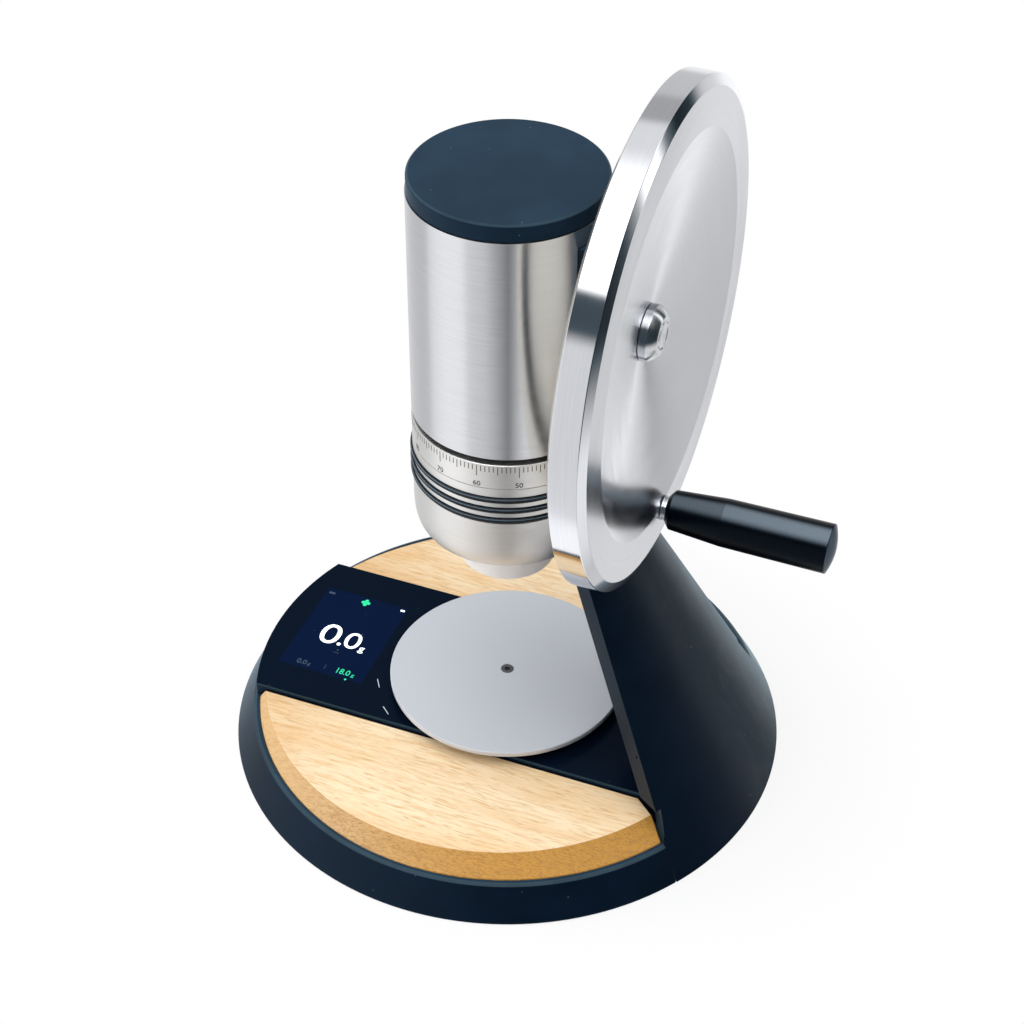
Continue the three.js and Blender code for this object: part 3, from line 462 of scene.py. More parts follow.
def studio_light():
    """The room's light in a direction: a softbox overhead, pale walls and a dark side."""
    group, wires, given, result = new_group("studio_light", {"Direction": "V"}, {"Light": "C"})
    x, y, z = wires.split(wires.vector("NORMALIZE", given["Direction"]))
    turn = wires.math("ARCTAN2", x, wires.times(y, -1.0))
    azimuth = wires.times(turn, 180 / math.pi)
    rise = wires.times(wires.math("ARCSINE", z), 180 / math.pi)
    light = ramp(wires, azimuth, ROUND_THE_ROOM)
    dark_side = wires.times(
        wires.times(wires.ease(azimuth, -6, 6), wires.ease(azimuth, 152, 160, 1.0, 0.0)),
        wires.ease(rise, -36, -16),
    )
    back_wall = wires.times(wires.ease(y, 0.25, 0.55), wires.ease(rise, -14, -2))
    light = wires.mix(back_wall, light, grey(BACK_WALL_LEVEL))
    behind = wires.ease(y, -0.5, 0.5, 0.1, 0.45)
    band = wires.times(wires.ease(rise, 22, 30), wires.ease(rise, 43, 48, 1.0, 0.0))
    light = wires.mix(band, light, wires.join(behind, behind, behind))
    light = wires.mix(dark_side, light, ramp(wires, azimuth, DARK_SIDE))
    light = wires.mix(wires.ease(rise, -66, -52, 1.0, 0.0), light, grey(BELOW_LEVEL))
    softbox = wires.ease(y, -0.15, 0.45, SOFTBOX_FRONT, SOFTBOX_BACK)
    light = wires.mix(wires.ease(rise, 43, 49), light, wires.join(softbox, softbox, softbox))
    level = wires.split(light)[1]
    tint = wires.mix(wires.ease(level, 0.0, 0.35), DARK_TINT, grey(1.0))
    wires.feed(result["Light"], wires.mix(1.0, light, tint, "MULTIPLY"))
    return group


STUDIO_LIGHT = studio_light()


def seen_directly(wires):
    """1 for what the camera sees itself."""
    return wires.node("LightPath").outputs["Is Camera Ray"]


def build_world():
    world = bpy.data.worlds.new("studio")
    world.use_nodes = True
    bpy.context.scene.world = world
    wires = Wiring(world.node_tree)
    background = world.node_tree.nodes["Background"]
    direction = wires.node("TexCoord").outputs["Generated"]
    light = wires.placed(STUDIO_LIGHT, Direction=direction)["Light"]
    wires.feed(background.inputs["Color"], wires.mix(seen_directly(wires), light, grey(1.0)))
    background.inputs["Strength"].default_value = 1.0


FLOOR_RADIUS = 900
# Metres from the axis where the floor starts to go white for the camera, and where it is white
FLOOR_SHADED, FLOOR_CLEAR = 0.12, 0.24
SHADED_SHARE = 0.72  # how white it is by the base


def build_floor():
    """A pale floor: the camera sees a faint shadow by the base, and metal mirrors the room."""
    material = bpy.data.materials.new("pale_floor")
    material.use_nodes = True
    tree = material.node_tree
    wires = Wiring(tree)
    tree.nodes.remove(tree.nodes["Principled BSDF"])
    paper = wires.node("BsdfDiffuse")
    paper.inputs["Color"].default_value = grey(0.86)
    white = wires.node("Emission")
    rays = wires.node("LightPath").outputs
    distance = wires.vector("LENGTH", wires.coordinates())
    away = wires.ease(distance, FLOOR_SHADED, FLOOR_CLEAR, SHADED_SHARE, 1.0)
    seen = wires.math("ADD", rays["Is Camera Ray"], rays["Is Transmission Ray"], clamp=True)
    blend = wires.node("MixShader")
    wires.feed(blend.inputs[0], wires.times(away, seen))
    wires.feed(blend.inputs[1], paper.outputs[0])
    wires.feed(blend.inputs[2], white.outputs[0])
    wires.feed(tree.nodes["Material Output"].inputs["Surface"], blend.outputs[0])
    shape = bmesh.new()
    bmesh.ops.create_circle(shape, cap_ends=True, segments=COARSE_TURN, radius=FLOOR_RADIUS * MM)
    floor = new_object("floor", shape)
    floor.data.materials.append(material)
    floor.visible_glossy = False


SIDE_LAMP_PLACE = (-1.0, -0.35, 0.22)  # metres
SIDE_LAMP_WATTS = 5
SIDE_LAMP_SIZE = 0.6


def build_side_lamp():
    """A soft lamp, low on the left. Steel doesn't mirror it."""
    data = bpy.data.lights.new("side_lamp", "AREA")
    data.shape = "DISK"
    data.size = SIDE_LAMP_SIZE
    data.energy = SIDE_LAMP_WATTS
    lamp = bpy.data.objects.new("side_lamp", data)
    place = Vector(SIDE_LAMP_PLACE)
    aim = place.to_track_quat("Z", "Y").to_matrix().to_4x4()
    lamp.matrix_world = Matrix.Translation(place) @ aim
    lamp.visible_glossy = False
    bpy.context.scene.collection.objects.link(lamp)


CAMERA_PLACE = (0.2998, -0.7579, 0.8192)
CAMERA_AZIMUTH = 21.44
CAMERA_DROP = 39.89
CAMERA_ROLL = 0.19
FOCAL_PIXELS = 2207.8
PHOTO_PIXELS = 1024
SENSOR_WIDTH = 36


def build_camera():
    azimuth, drop, roll = map(math.radians, (CAMERA_AZIMUTH, CAMERA_DROP, CAMERA_ROLL))
    back = Vector((
        math.sin(azimuth) * math.cos(drop), -math.cos(azimuth) * math.cos(drop), math.sin(drop)
    ))
    level = Vector((math.cos(azimuth), math.sin(azimuth), 0))
    upward = back.cross(level)
    across = level * math.cos(roll) + upward * math.sin(roll)
    upright = upward * math.cos(roll) - level * math.sin(roll)
    data = bpy.data.cameras.new("camera")
    data.sensor_width = SENSOR_WIDTH
    data.lens = FOCAL_PIXELS / PHOTO_PIXELS * SENSOR_WIDTH
    data.clip_start = 0.01
    camera = bpy.data.objects.new("camera", data)
    facing = Matrix((across, upright, back)).transposed().to_4x4()
    camera.matrix_world = Matrix.Translation(CAMERA_PLACE) @ facing
    bpy.context.scene.collection.objects.link(camera)
    bpy.context.scene.camera = camera


# ---- finishes


def turned_marks():
    """Lathe lines round the Z axis. Fineness counts them per metre of radius and height."""
    group, wires, given, result = new_group(
        "turned_marks", {"Vector": "V", "Fineness": "F", "Wander": "F"},
        {"Lines": "F", "Bands": "F"},
    )
    x, y, z = wires.split(given["Vector"])
    level = wires.join(x, y, 0.0)
    radius = wires.vector("LENGTH", level)
    around = wires.vector("NORMALIZE", level)
    ux, uy, _ = wires.split(around)
    wander = given["Wander"]
    along = wires.times(wires.math("ADD", radius, z), given["Fineness"])

    def lines(fineness, detail):
        spot = wires.join(
            wires.times(ux, wander),
            wires.times(uy, wander),
            wires.times(along, fineness),
        )
        return wires.noise(spot, 1.0, detail=detail, roughness=0.65)

    wires.feed(result["Lines"], lines(1.0, 3.0))
    wires.feed(result["Bands"], lines(0.08, 1.0))
    return group


def fine_grain():
    """Powder-coat grain with soft clouding. Size is in metres."""
    group, wires, given, result = new_group(
        "fine_grain", {"Vector": "V", "Size": "F"}, {"Grain": "F", "Clouds": "F"}
    )
    spot = given["Vector"]
    scale = wires.math("DIVIDE", 1.0, given["Size"])
    wires.feed(result["Grain"], wires.noise(spot, scale, detail=2.0, roughness=0.6))
    wires.feed(result["Clouds"], wires.noise(spot, 35.0, detail=3.0))
    return group


def dust_specks():
    """Sparse pale specks of dust. Spacing is in metres, Amount runs from 0 to 1."""
    group, wires, given, result = new_group(
        "dust_specks", {"Vector": "V", "Spacing": "F", "Amount": "F"}, {"Specks": "F"}
    )
    cells = wires.node("TexVoronoi", feature="F1")
    wires.feed(cells.inputs["Vector"], given["Vector"])
    wires.feed(cells.inputs["Scale"], wires.math("DIVIDE", 1.0, given["Spacing"]))
    dot = wires.ease(cells.outputs["Distance"], 0.05, 0.12, 1.0, 0.0)
    chance = wires.split(cells.outputs["Color"])[0]
    chosen = wires.math("LESS_THAN", chance, given["Amount"])
    wires.feed(result["Specks"], wires.times(dot, chosen))
    return group


TURNED_MARKS = turned_marks()
FINE_GRAIN = fine_grain()
DUST_SPECKS = dust_specks()


def new_finish(name, **constants):
    """A material with its Principled shader set, its wiring and the shader's inputs."""
    material = bpy.data.materials.new(name)
    material.use_nodes = True
    wires = Wiring(material.node_tree)
    sockets = material.node_tree.nodes["Principled BSDF"].inputs
    for label, value in constants.items():
        sockets[label.replace("_", " ")].default_value = value
    return material, wires, sockets


def bumped(wires, sockets, height, strength, depth):
    """Depth is in millimetres."""
    bump = wires.node("Bump")
    wires.feed_all(bump, {"Strength": strength, "Distance": depth * MM, "Height": height})
    wires.feed(sockets["Normal"], bump.outputs[0])


def turned_steel(name, axis, pale, deep, fineness, roughness, centre=(0, 0, 0), stretch=0.8,
                 polish_from=0, dull_back=False):
    """Steel with the lathe's or the brush's lines running round an axis.

    It may be smoother past a radius, and duller on its back, where a warm tint is a painted
    reflection.
    """
    material, wires, sockets = new_finish(
        name, Metallic=1.0, Anisotropic=stretch, Anisotropic_Rotation=0.25
    )
    spot = wires.vector("SUBTRACT", wires.coordinates(), [part * MM for part in centre])
    if axis == "X":
        x, y, z = wires.split(spot)
        spot = wires.join(y, z, x)
    marks = wires.placed(TURNED_MARKS, Vector=spot, Fineness=fineness, Wander=2.5)
    colour = wires.mix(marks["Lines"], rgb(*deep), rgb(*pale))
    rough = wires.ease(marks["Bands"], 0.2, 0.8, roughness * 0.9, roughness * 1.12)
    if polish_from:
        x, y, _ = wires.split(spot)
        radius = wires.vector("LENGTH", wires.join(x, y, 0.0))
        edge = polish_from * MM
        polish = wires.ease(radius, edge - MM / 2, edge + MM / 2, 1.0, 0.5)
        rough = wires.times(rough, polish)
    if dull_back:
        facing = wires.split(wires.normal())[0]
        back = wires.ease(facing, -0.9, -0.5, 1.0, 0.0)
        rough = wires.math("MULTIPLY_ADD", back, 0.1, rough)
        # Painted reflection: the back is tinted warm, standing in for warm reflected light.
        colour = wires.mix(back, colour, rgb(0.79, 0.76, 0.68))
    wires.feed(sockets["Base Color"], colour)
    wires.feed(sockets["Roughness"], rough)
    tangent = wires.node("Tangent", direction_type="RADIAL", axis=axis)
    wires.feed(sockets["Tangent"], tangent.outputs[0])
    bumped(wires, sockets, marks["Lines"], 0.25, 0.01)
    return material


def painted(name, side, top, roughness, dust=0.0, far_side_paling=0.0, **constants):
    """Fine powder coat with painted light: lighter on top than on the sides, a painted highlight
    along edges that face partly up, dust specks and paler clouded patches on the far side.
    """
    material, wires, sockets = new_finish(name, **constants)
    spot = wires.coordinates()
    coat = wires.placed(FINE_GRAIN, Vector=spot, Size=0.00035)
    up = wires.split(wires.normal())[2]
    # Painted light: faces that point up take the lighter top colour, the others the darker side
    # colour.
    shade = wires.mix(wires.ease(up, 0.8, 0.98), rgb(*side), rgb(*top))
    # Painted highlight: a paler line on edges and bevels that face partly up.
    painted_edge_highlight = wires.times(wires.ease(up, 0.54, 0.68), wires.ease(up, 0.9, 0.98, 1.0, 0.0))
    shade = wires.mix(wires.times(painted_edge_highlight, 0.4), shade, rgb(0.06, 0.1, 0.125))
    mottle = wires.math("MULTIPLY_ADD", coat["Grain"], 0.35, coat["Clouds"])
    level = wires.ease(mottle, 0.4, 0.95, 0.88, 1.3)
    shade = wires.mix(1.0, shade, wires.join(level, level, level), "MULTIPLY")
    # Paler clouded patches on the far side, placed by position.
    if far_side_paling:
        x, y, _ = wires.split(spot)
        far_side = wires.times(wires.ease(y, -0.03, 0.06), wires.ease(x, 0.05, 0.08))
        patch_noise = wires.noise(wires.stretch(spot, (60.0, 60.0, 26.0)), 1.0, 5.0, 0.7, 1.2)
        far_side_patches = wires.times(far_side, wires.ease(patch_noise, 0.45, 0.7, 0.1, far_side_paling))
        shade = wires.mix(far_side_patches, shade, rgb(0.07, 0.1, 0.11))
    if dust:
        specks = wires.placed(DUST_SPECKS, Vector=spot, Spacing=0.005, Amount=dust)["Specks"]
        shade = wires.mix(wires.times(specks, 0.3), shade, grey(0.25))
    wires.feed(sockets["Base Color"], shade)
    rough = wires.ease(coat["Clouds"], 0.2, 0.8, roughness * 0.92, roughness * 1.08)
    wires.feed(sockets["Roughness"], rough)
    bumped(wires, sockets, coat["Grain"], 0.35, 0.04)
    return material


def plain_finish(name, colour, roughness, metallic=0.0, marks=0.08, size=0.0012, **constants):
    """A finish with a slight mottle, for what lies inside."""
    material, wires, sockets = new_finish(name, Metallic=metallic, **constants)
    coat = wires.placed(FINE_GRAIN, Vector=wires.coordinates(), Size=size)
    other = [part * (1 - marks) for part in colour]
    wires.feed(sockets["Base Color"], wires.mix(coat["Grain"], rgb(*colour), rgb(*other)))
    rough = wires.ease(coat["Grain"], 0.2, 0.8, roughness * 0.9, roughness * 1.1)
    wires.feed(sockets["Roughness"], rough)
    bumped(wires, sockets, coat["Grain"], 0.2, 0.03)
    return material


def pale_wood():
    """Pale hardwood with its grain along X: short brown dashes on top and dark speckled edges,
    darker partly from end grain and partly as painted shade; painted light makes the edges lighter
    where they face left and the top darker at its left end.
    """
    material, wires, sockets = new_finish("pale_wood", Specular_IOR_Level=0.3)
    spot = wires.coordinates()
    sway = wires.noise(wires.stretch(spot, (9.0, 22.0, 22.0)), 1.0, detail=2.0)
    x, y, z = wires.split(spot)
    y = wires.math("MULTIPLY_ADD", sway, 0.012, y)
    grain = wires.join(x, y, z)
    broad = wires.noise(wires.stretch(grain, (7.0, 60.0, 60.0)), 1.0, detail=3.0, roughness=0.6)
    streaks = wires.noise(wires.stretch(grain, (55.0, 620.0, 620.0)), 1.0, 3.0, 0.65)
    dashes = wires.noise(wires.stretch(grain, (150.0, 1500.0, 1500.0)), 1.0, 1.0)
    top = wires.mix(wires.ease(broad, 0.35, 0.65), rgb(0.95, 0.78, 0.54), rgb(0.90, 0.66, 0.40))
    top = wires.mix(wires.ease(streaks, 0.4, 0.72, 0.0, 0.7), top, rgb(0.80, 0.50, 0.22))
    top = wires.mix(wires.ease(dashes, 0.55, 0.72, 0.0, 0.45), top, rgb(0.60, 0.33, 0.12))
    # Painted light: the top is darker and tanner at its left end and a little brighter elsewhere.
    paler = wires.mix(wires.ease(x, -0.12, -0.04), rgb(0.86, 0.77, 0.66), rgb(1.03, 1.03, 1.03))
    top = wires.mix(1.0, top, paler, "MULTIPLY")
    facing, _, up = wires.split(wires.normal())
    speckle = wires.noise(wires.stretch(spot, (420.0, 1500.0, 1500.0)), 1.0, 2.0, 0.7)
    # Painted light: the edges are lighter where they face left and darker where they face front and
    # right.
    side = wires.mix(wires.ease(facing, -0.2, 0.15), rgb(0.60, 0.39, 0.19), rgb(0.58, 0.29, 0.05))
    rings = wires.ease(streaks, 0.42, 0.75, 0.0, 0.45)
    side = wires.mix(rings, side, rgb(0.40, 0.21, 0.065))
    speckled = wires.times(
        wires.ease(facing, -0.36, -0.12, 0.25, 1.0), wires.ease(speckle, 0.42, 0.68, 0.0, 0.6)
    )
    side = wires.mix(speckled, side, rgb(0.30, 0.135, 0.03))
    # Edges and chamfers take the darker side colour, partly end grain and partly painted shade.
    edge = wires.ease(up, 0.955, 0.985, 1.0, 0.0)
    wires.feed(sockets["Base Color"], wires.mix(edge, top, side))
    wires.feed(sockets["Roughness"], wires.ease(streaks, 0.2, 0.8, 0.5, 0.62))
    bumped(wires, sockets, wires.math("SUBTRACT", streaks, dashes), 0.3, 0.05)
    return material


SCREEN = (-115.2, -68.5, -31.0, 30.2)  # from and to in X, from and to in Y


def scale_glass_finish():
    """Black-backed glass, with the lit screen a little bluer than the rest and a painted highlight
    on its edges.
    """
    material, wires, sockets = new_finish(
        "black_glass", Specular_IOR_Level=0.05, Specular_Tint=rgb(0.4, 0.7, 1.0)
    )
    spot = wires.coordinates()
    x, y, _ = wires.split(spot)
    left, right, low, high = (place * MM for place in SCREEN)
    soft = 0.6 * MM
    screen = wires.times(wires.window(x, left, right, soft), wires.window(y, low, high, soft))
    specks = wires.placed(DUST_SPECKS, Vector=spot, Spacing=0.004, Amount=0.12)["Specks"]
    colour = wires.mix(screen, rgb(0.002, 0.006, 0.016), rgb(0.0015, 0.008, 0.036))
    colour = wires.mix(wires.times(specks, 0.12), colour, grey(0.3))
    # Painted highlight: the glass's edges and sides, which don't face up, are painted a lighter
    # blue-grey.
    up = wires.split(wires.normal())[2]
    colour = wires.mix(wires.ease(up, 0.3, 0.8, 1.0, 0.0), colour, rgb(0.025, 0.055, 0.08))
    wires.feed(sockets["Base Color"], colour)
    smears = wires.noise(spot, 30.0, detail=3.0)
    wires.feed(sockets["Roughness"], wires.ease(smears, 0.3, 0.7, 0.12, 0.2))
    return material


def lit(name, colour, strength=1.0):
    """What glows on the screen, or is printed pale on the glass with a faint painted glow."""
    material, wires, sockets = new_finish(name, Roughness=0.5, Base_Color=rgb(*colour))
    fade = wires.noise(wires.coordinates(), 900.0)
    level = wires.ease(fade, 0.2, 0.8, 0.92, 1.0)
    wires.feed(sockets["Emission Color"], wires.mix(level, grey(0.0), rgb(*colour)))
    sockets["Emission Strength"].default_value = strength
    return material


def frosted():
    """Milky plastic with a faint painted glow."""
    # The emission is a painted glow that lightens the spout; the plastic gives no light.
    material, wires, sockets = new_finish(
        "milky_plastic", Transmission_Weight=0.2, IOR=1.45, Roughness=0.4,
        Subsurface_Weight=0.4, Subsurface_Scale=0.006, Subsurface_Radius=(1.0, 1.0, 1.0),
        Emission_Color=rgb(1.0, 0.95, 0.92), Emission_Strength=0.04,
    )
    clouds = wires.noise(wires.coordinates(), 60.0, detail=2.0)
    wires.feed(
        sockets["Base Color"], wires.mix(clouds, rgb(0.97, 0.93, 0.91), rgb(0.99, 0.97, 0.96))
    )
    return material


def grip_cord_finish():
    """Black cord with a painted highlight: a pale line above its crest."""
    material, wires, sockets = new_finish("black_cord", Specular_IOR_Level=0.25)
    z = wires.split(wires.coordinates())[2]
    step, first = RING_STEP * MM, (RING_CENTRES[0] - RING_STEP / 2) * MM
    above = wires.math("MODULO", wires.math("SUBTRACT", z, first), step)
    low, high = (RING_STEP / 2 + 0.62) * MM, (RING_STEP / 2 + 1.0) * MM
    # Painted highlight: a pale line just above each cord's crest.
    highlight_line = wires.window(above, low, high, 0.14 * MM)
    colour = wires.mix(highlight_line, rgb(0.003, 0.006, 0.012), rgb(0.10, 0.15, 0.19))
    wires.feed(sockets["Base Color"], colour)
    wires.feed(sockets["Roughness"], wires.ease(highlight_line, 0.0, 1.0, 0.35, 0.45))
    return material


# Where the grip's painted highlight faces.
HIGHLIGHT_SIDE = (0.0, -0.37, 0.93)  # towards the lamps


def anodised():
    """Black anodising with a painted highlight along its upper side and its end face painted
    lighter as if lit.
    """
    material, wires, sockets = new_finish(
        "black_anodised", Specular_IOR_Level=0.12, Specular_Tint=rgb(0.5, 0.75, 1.0), Metallic=0.0
    )
    spot = wires.coordinates()
    facing = wires.normal()
    # Painted highlight: a paler band where the grip faces up towards the lamps, dimmer before the
    # crease.
    across = wires.vector("DOT_PRODUCT", facing, HIGHLIGHT_SIDE)
    painted_highlight = wires.ease(across, 0.86, 0.998)
    painted_highlight = wires.times(painted_highlight, painted_highlight)
    x = wires.split(spot)[0]
    crease = GRIP_CREASE * MM
    painted_highlight = wires.times(painted_highlight, wires.ease(x, crease - MM / 4, crease + MM / 4, 0.65, 1.0))
    grain = wires.placed(FINE_GRAIN, Vector=spot, Size=0.0004)["Grain"]
    painted_highlight = wires.times(painted_highlight, wires.ease(grain, 0.3, 0.7, 0.85, 1.0))
    colour = wires.mix(painted_highlight, rgb(0.0006, 0.001, 0.003), rgb(0.2, 0.25, 0.295))
    # Painted light: the end face is painted lighter as if lit.
    end = wires.ease(wires.split(facing)[0], 0.8, 0.9)
    colour = wires.mix(end, colour, rgb(0.03, 0.055, 0.085))
    wires.feed(sockets["Base Color"], colour)
    wires.feed(sockets["Roughness"], wires.ease(grain, 0.2, 0.8, 0.26, 0.32))
    return material


PALE_STEEL, DEEP_STEEL = (0.74, 0.75, 0.78), (0.60, 0.61, 0.64)
SATIN_PALE, SATIN_DEEP = (0.84, 0.835, 0.83), (0.74, 0.735, 0.73)
ON_SHAFT = (0, 0, SHAFT_HEIGHT)
ON_GRIP = (0, 0, GRIP_HEIGHT)
POLISH_START = WHEEL_BEVEL - 0.4
PAINT_SHEEN = {
    "Specular_IOR_Level": 0.17, "Specular_Tint": rgb(0.5, 0.8, 1.0), "Sheen_Weight": 0.7,
    "Sheen_Roughness": 0.26, "Sheen_Tint": rgb(0.4, 0.62, 0.78),
}

FINISH = {
    "tube": turned_steel("brushed_steel_tube", "Z", PALE_STEEL, DEEP_STEEL, 2600, 0.21),
    "dial": turned_steel(
        "brushed_steel_dial", "Z", SATIN_PALE, SATIN_DEEP, 2600, 0.36, stretch=0.6
    ),
    "bowl": turned_steel("satin_steel_bowl", "Z", SATIN_PALE, SATIN_DEEP, 2200, 0.42, stretch=0.45),
    "wheel": turned_steel(
        "turned_steel_wheel", "X", (0.80, 0.815, 0.855), (0.70, 0.715, 0.755), 1500, 0.215,
        centre=ON_SHAFT, polish_from=POLISH_START, dull_back=True,
    ),
    "hub": turned_steel(
        "turned_steel_hub", "X", PALE_STEEL, DEEP_STEEL, 3500, 0.24, centre=ON_SHAFT
    ),
    "collar": turned_steel(
        "turned_steel_collar", "X", PALE_STEEL, DEEP_STEEL, 4000, 0.18, centre=ON_GRIP
    ),
    # The side and top colours of both paints are a shaded and a lit copy of one colour: painted
    # light.
    "paint": painted(
        "blue_black_paint", (0.0015, 0.006, 0.016), (0.012, 0.030, 0.052), 0.4, dust=0.04,
        far_side_paling=0.4, **PAINT_SHEEN
    ),
    "lid": painted(
        "blue_black_lid", (0.006, 0.018, 0.036), (0.013, 0.032, 0.056), 0.5, dust=0.2,
        **{**PAINT_SHEEN, "Sheen_Weight": 0.3, "Specular_IOR_Level": 0.12}
    ),
    "wood": pale_wood(),
    "glass": scale_glass_finish(),
    "white": lit("lit_white", (0.92, 0.98, 1.0)),
    "green": lit("lit_green", (0.01, 0.47, 0.22)),
    "dim": lit("lit_dim", (0.018, 0.034, 0.06)),
    # The pale print is given a faint painted glow, though print gives no light.
    "print": lit("pale_print", (0.45, 0.55, 0.6), 0.3),
    "ink": plain_finish("dial_ink", (0.075, 0.07, 0.062), 0.5),
    "pan": plain_finish("blasted_plate", (0.65, 0.68, 0.74), 0.45, 0.35, 0.06, 0.0006),
    "bolt": plain_finish("bolt_steel", (0.13, 0.135, 0.145), 0.35, 1.0),
    "rubber": plain_finish("black_rubber", (0.006, 0.012, 0.02), 0.3),
    "cord": grip_cord_finish(),
    "grip": anodised(),
    "sleeve": plain_finish("dark_sleeve", (0.02, 0.02, 0.022), 0.45, 0.3),
    "milky": frosted(),
    "inner_steel": plain_finish("machined_steel", (0.50, 0.51, 0.53), 0.34, 1.0),
    "bronze": plain_finish("bushing_bronze", (0.62, 0.45, 0.22), 0.4, 1.0),
    "board": plain_finish("board_green", (0.05, 0.24, 0.14), 0.5),
    "battery": plain_finish("battery_sleeve", (0.45, 0.47, 0.50), 0.5),
    "screen": plain_finish("screen_black", (0.01, 0.02, 0.04), 0.3),
}


# ---- stand


def wood_outline(side, clearance):
    """A panel's edge seen from above, with its end moved out by a clearance."""
    beyond = 2 * BASE_RADIUS
    grown = [
        (-beyond, WOOD_EDGE - clearance), (88.5 + clearance, WOOD_EDGE - clearance),
        (98.4 + clearance, 58.8 - clearance), (106.8 + clearance, 69.3 - clearance),
        (106.8 + clearance, beyond), (-beyond, beyond),
    ]
    return [(x, side * y) for x, y in grown]


def tower_room(clearance, top):
    """What the tower takes up in the base, grown by a clearance."""
    inner = TOWER_WALL + clearance
    swing = math.degrees(clearance / BASE_RADIUS)
    return wedge(
        [
            (cone_radius(-1) - inner, -1), (2 * BASE_RADIUS, -1), (2 * BASE_RADIUS, top),
            (cone_radius(top) - inner, top),
        ],
        TOWER_HALF_ANGLE + swing, COARSE_TURN,
    )


def build_base():
    casting = turned(
        [
            (0, 2.3), (116.3, 2.3), (116.3, 0.5), (cone_radius(0.5), 0.5),
            (cone_radius(RIM_HEIGHT - 1.1), RIM_HEIGHT - 1.1), (128.82, RIM_HEIGHT),
            (RIM_INNER, RIM_HEIGHT), (RIM_INNER, 5.8), (0, 5.8),
        ],
    )
    casting = carved(casting, tower_room(GAP, 60))
    piece(
        "base_ring", eased(casting, 0.35, least=20), FINISH["paint"], "stand",
        ["base_casting"],
    )


def build_tower():
    """The standing part of the cone, with room for the neck, tube and wheel and one small hole."""
    top = 145.9
    shell = wedge(
        [
            (cone_radius(0.5) - TOWER_WALL, 0.5), (cone_radius(0.5), 0.5), (cone_radius(top), top),
            (cone_radius(top) - TOWER_WALL, top),
        ],
        TOWER_HALF_ANGLE, COARSE_TURN,
    )
    notches = [
        carved(
            prism(wood_outline(side, 1.2), 10.1, 33.5), block((0, -300, 10.1), (300, 300, 33.5)),
            operation="INTERSECT",
        )
        for side in (-1, 1)
    ]
    hole = moved(swung(disc(0.9, -4, 1, 24), math.pi / 2, "X"), cone_radius(57) - 3, 0, 57)
    swung(hole, math.radians(-TOWER_HALF_ANGLE), "Z")
    tower = carved(
        shell,
        block((0, -21, 125.6), (58.6, 21, 200)),
        disc(47, 137.2, 200, FINE_TURN),
        along_x(disc(117.1, NECK_OUTER, 200, WHEEL_TURN)),
        hole,
        *notches,
    )
    piece("tower_shell", eased(tower, 0.7), FINISH["paint"], "stand", ["tower"])


def build_neck():
    saddle = block((22.35, -20.7, 205.6), (NECK_OUTER, 20.7, 310))
    foot = block((47, -20.7, 125.9), (NECK_OUTER, 20.7, 206))
    column = carved(saddle, foot, operation="UNION")
    column = carved(column, disc(45, 0, 330, FINE_TURN), along_x(disc(13.3, 46.6, 60, 96)),
                    along_x(disc(6.3, 0, 60, 48)))
    piece(
        "neck_block", eased(column, 0.8), FINISH["paint"], "stand", ["neck_column"]
    )


def build_wood():
    for side, name in ((-1, "front"), (1, "rear")):
        panel = turned(
            [(0, WOOD_FOOT), (INLAY_RADIUS, WOOD_FOOT), (INLAY_RADIUS, RIM_HEIGHT),
             (121.32, WOOD_TOP), (0, WOOD_TOP)]
        )
        upper = [vert for vert in panel.verts if vert.co.z > (RIM_HEIGHT + 1) * MM]
        bmesh.ops.translate(panel, verts=upper, vec=(-5.6 * MM, -side * 5.3 * MM, 0))
        corners = wood_outline(side, 0)[:5]
        for (x1, y1), (x2, y2) in zip(corners, corners[1:]):
            outward = Vector((abs(y2 - y1), -side * abs(x2 - x1), 0)).normalized()
            sliced(panel, (x1, y1, 0), outward)
        piece(
            f"{name}_wood", eased(panel, 0.6, 3, least=18), FINISH["wood"], "stand",
            [f"{name}_wood_panel"],
        )


def scale_blank(points):
    """A turned blank cut down to the scale's straight strip and cleared round the tower."""
    blank = turned(points)
    for side in (-1, 1):
        sliced(blank, (0, side * SCALE_HALF_WIDTH, 0), (0, side, 0))
    return carved(blank, tower_room(GAP, 60), disc(8, 20, 30, COARSE_TURN))


def build_scale():
    tray = scale_blank(
        [(0, 6.1), (INLAY_RADIUS, 6.1), (INLAY_RADIUS, 18.3), (SCALE_END_RADIUS, 18.3),
         (SCALE_END_RADIUS, 24.2), (0, 24.2)]
    )
    tray = carved(tray, block((83.7, -60, 0), (200, 60, 12.9)))
    piece("scale_body", eased(tray, 0.3), FINISH["paint"], "stand", ["scale_tray"])
    glass = scale_blank(
        [(0, 24.5), (SCALE_END_RADIUS, 24.5), (SCALE_END_RADIUS, SCALE_TOP), (0, SCALE_TOP)]
    )
    piece(
        "scale_cover", eased(glass, 0.35, 3), FINISH["glass"], "stand",
        ["scale_glass"],
    )


def on_glass(*marks):
    """One shape of several flat marks, each given with its place on the glass."""
    return gathered([moved(mark, x, y, SCALE_TOP + 0.02) for mark, x, y in marks])


def bar(width, height, turn=0.0):
    """A thin straight mark, centred."""
    mark = block((-width / 2, -height / 2, -MARK), (width / 2, height / 2, MARK))
    return swung(mark, math.radians(turn), "Z")


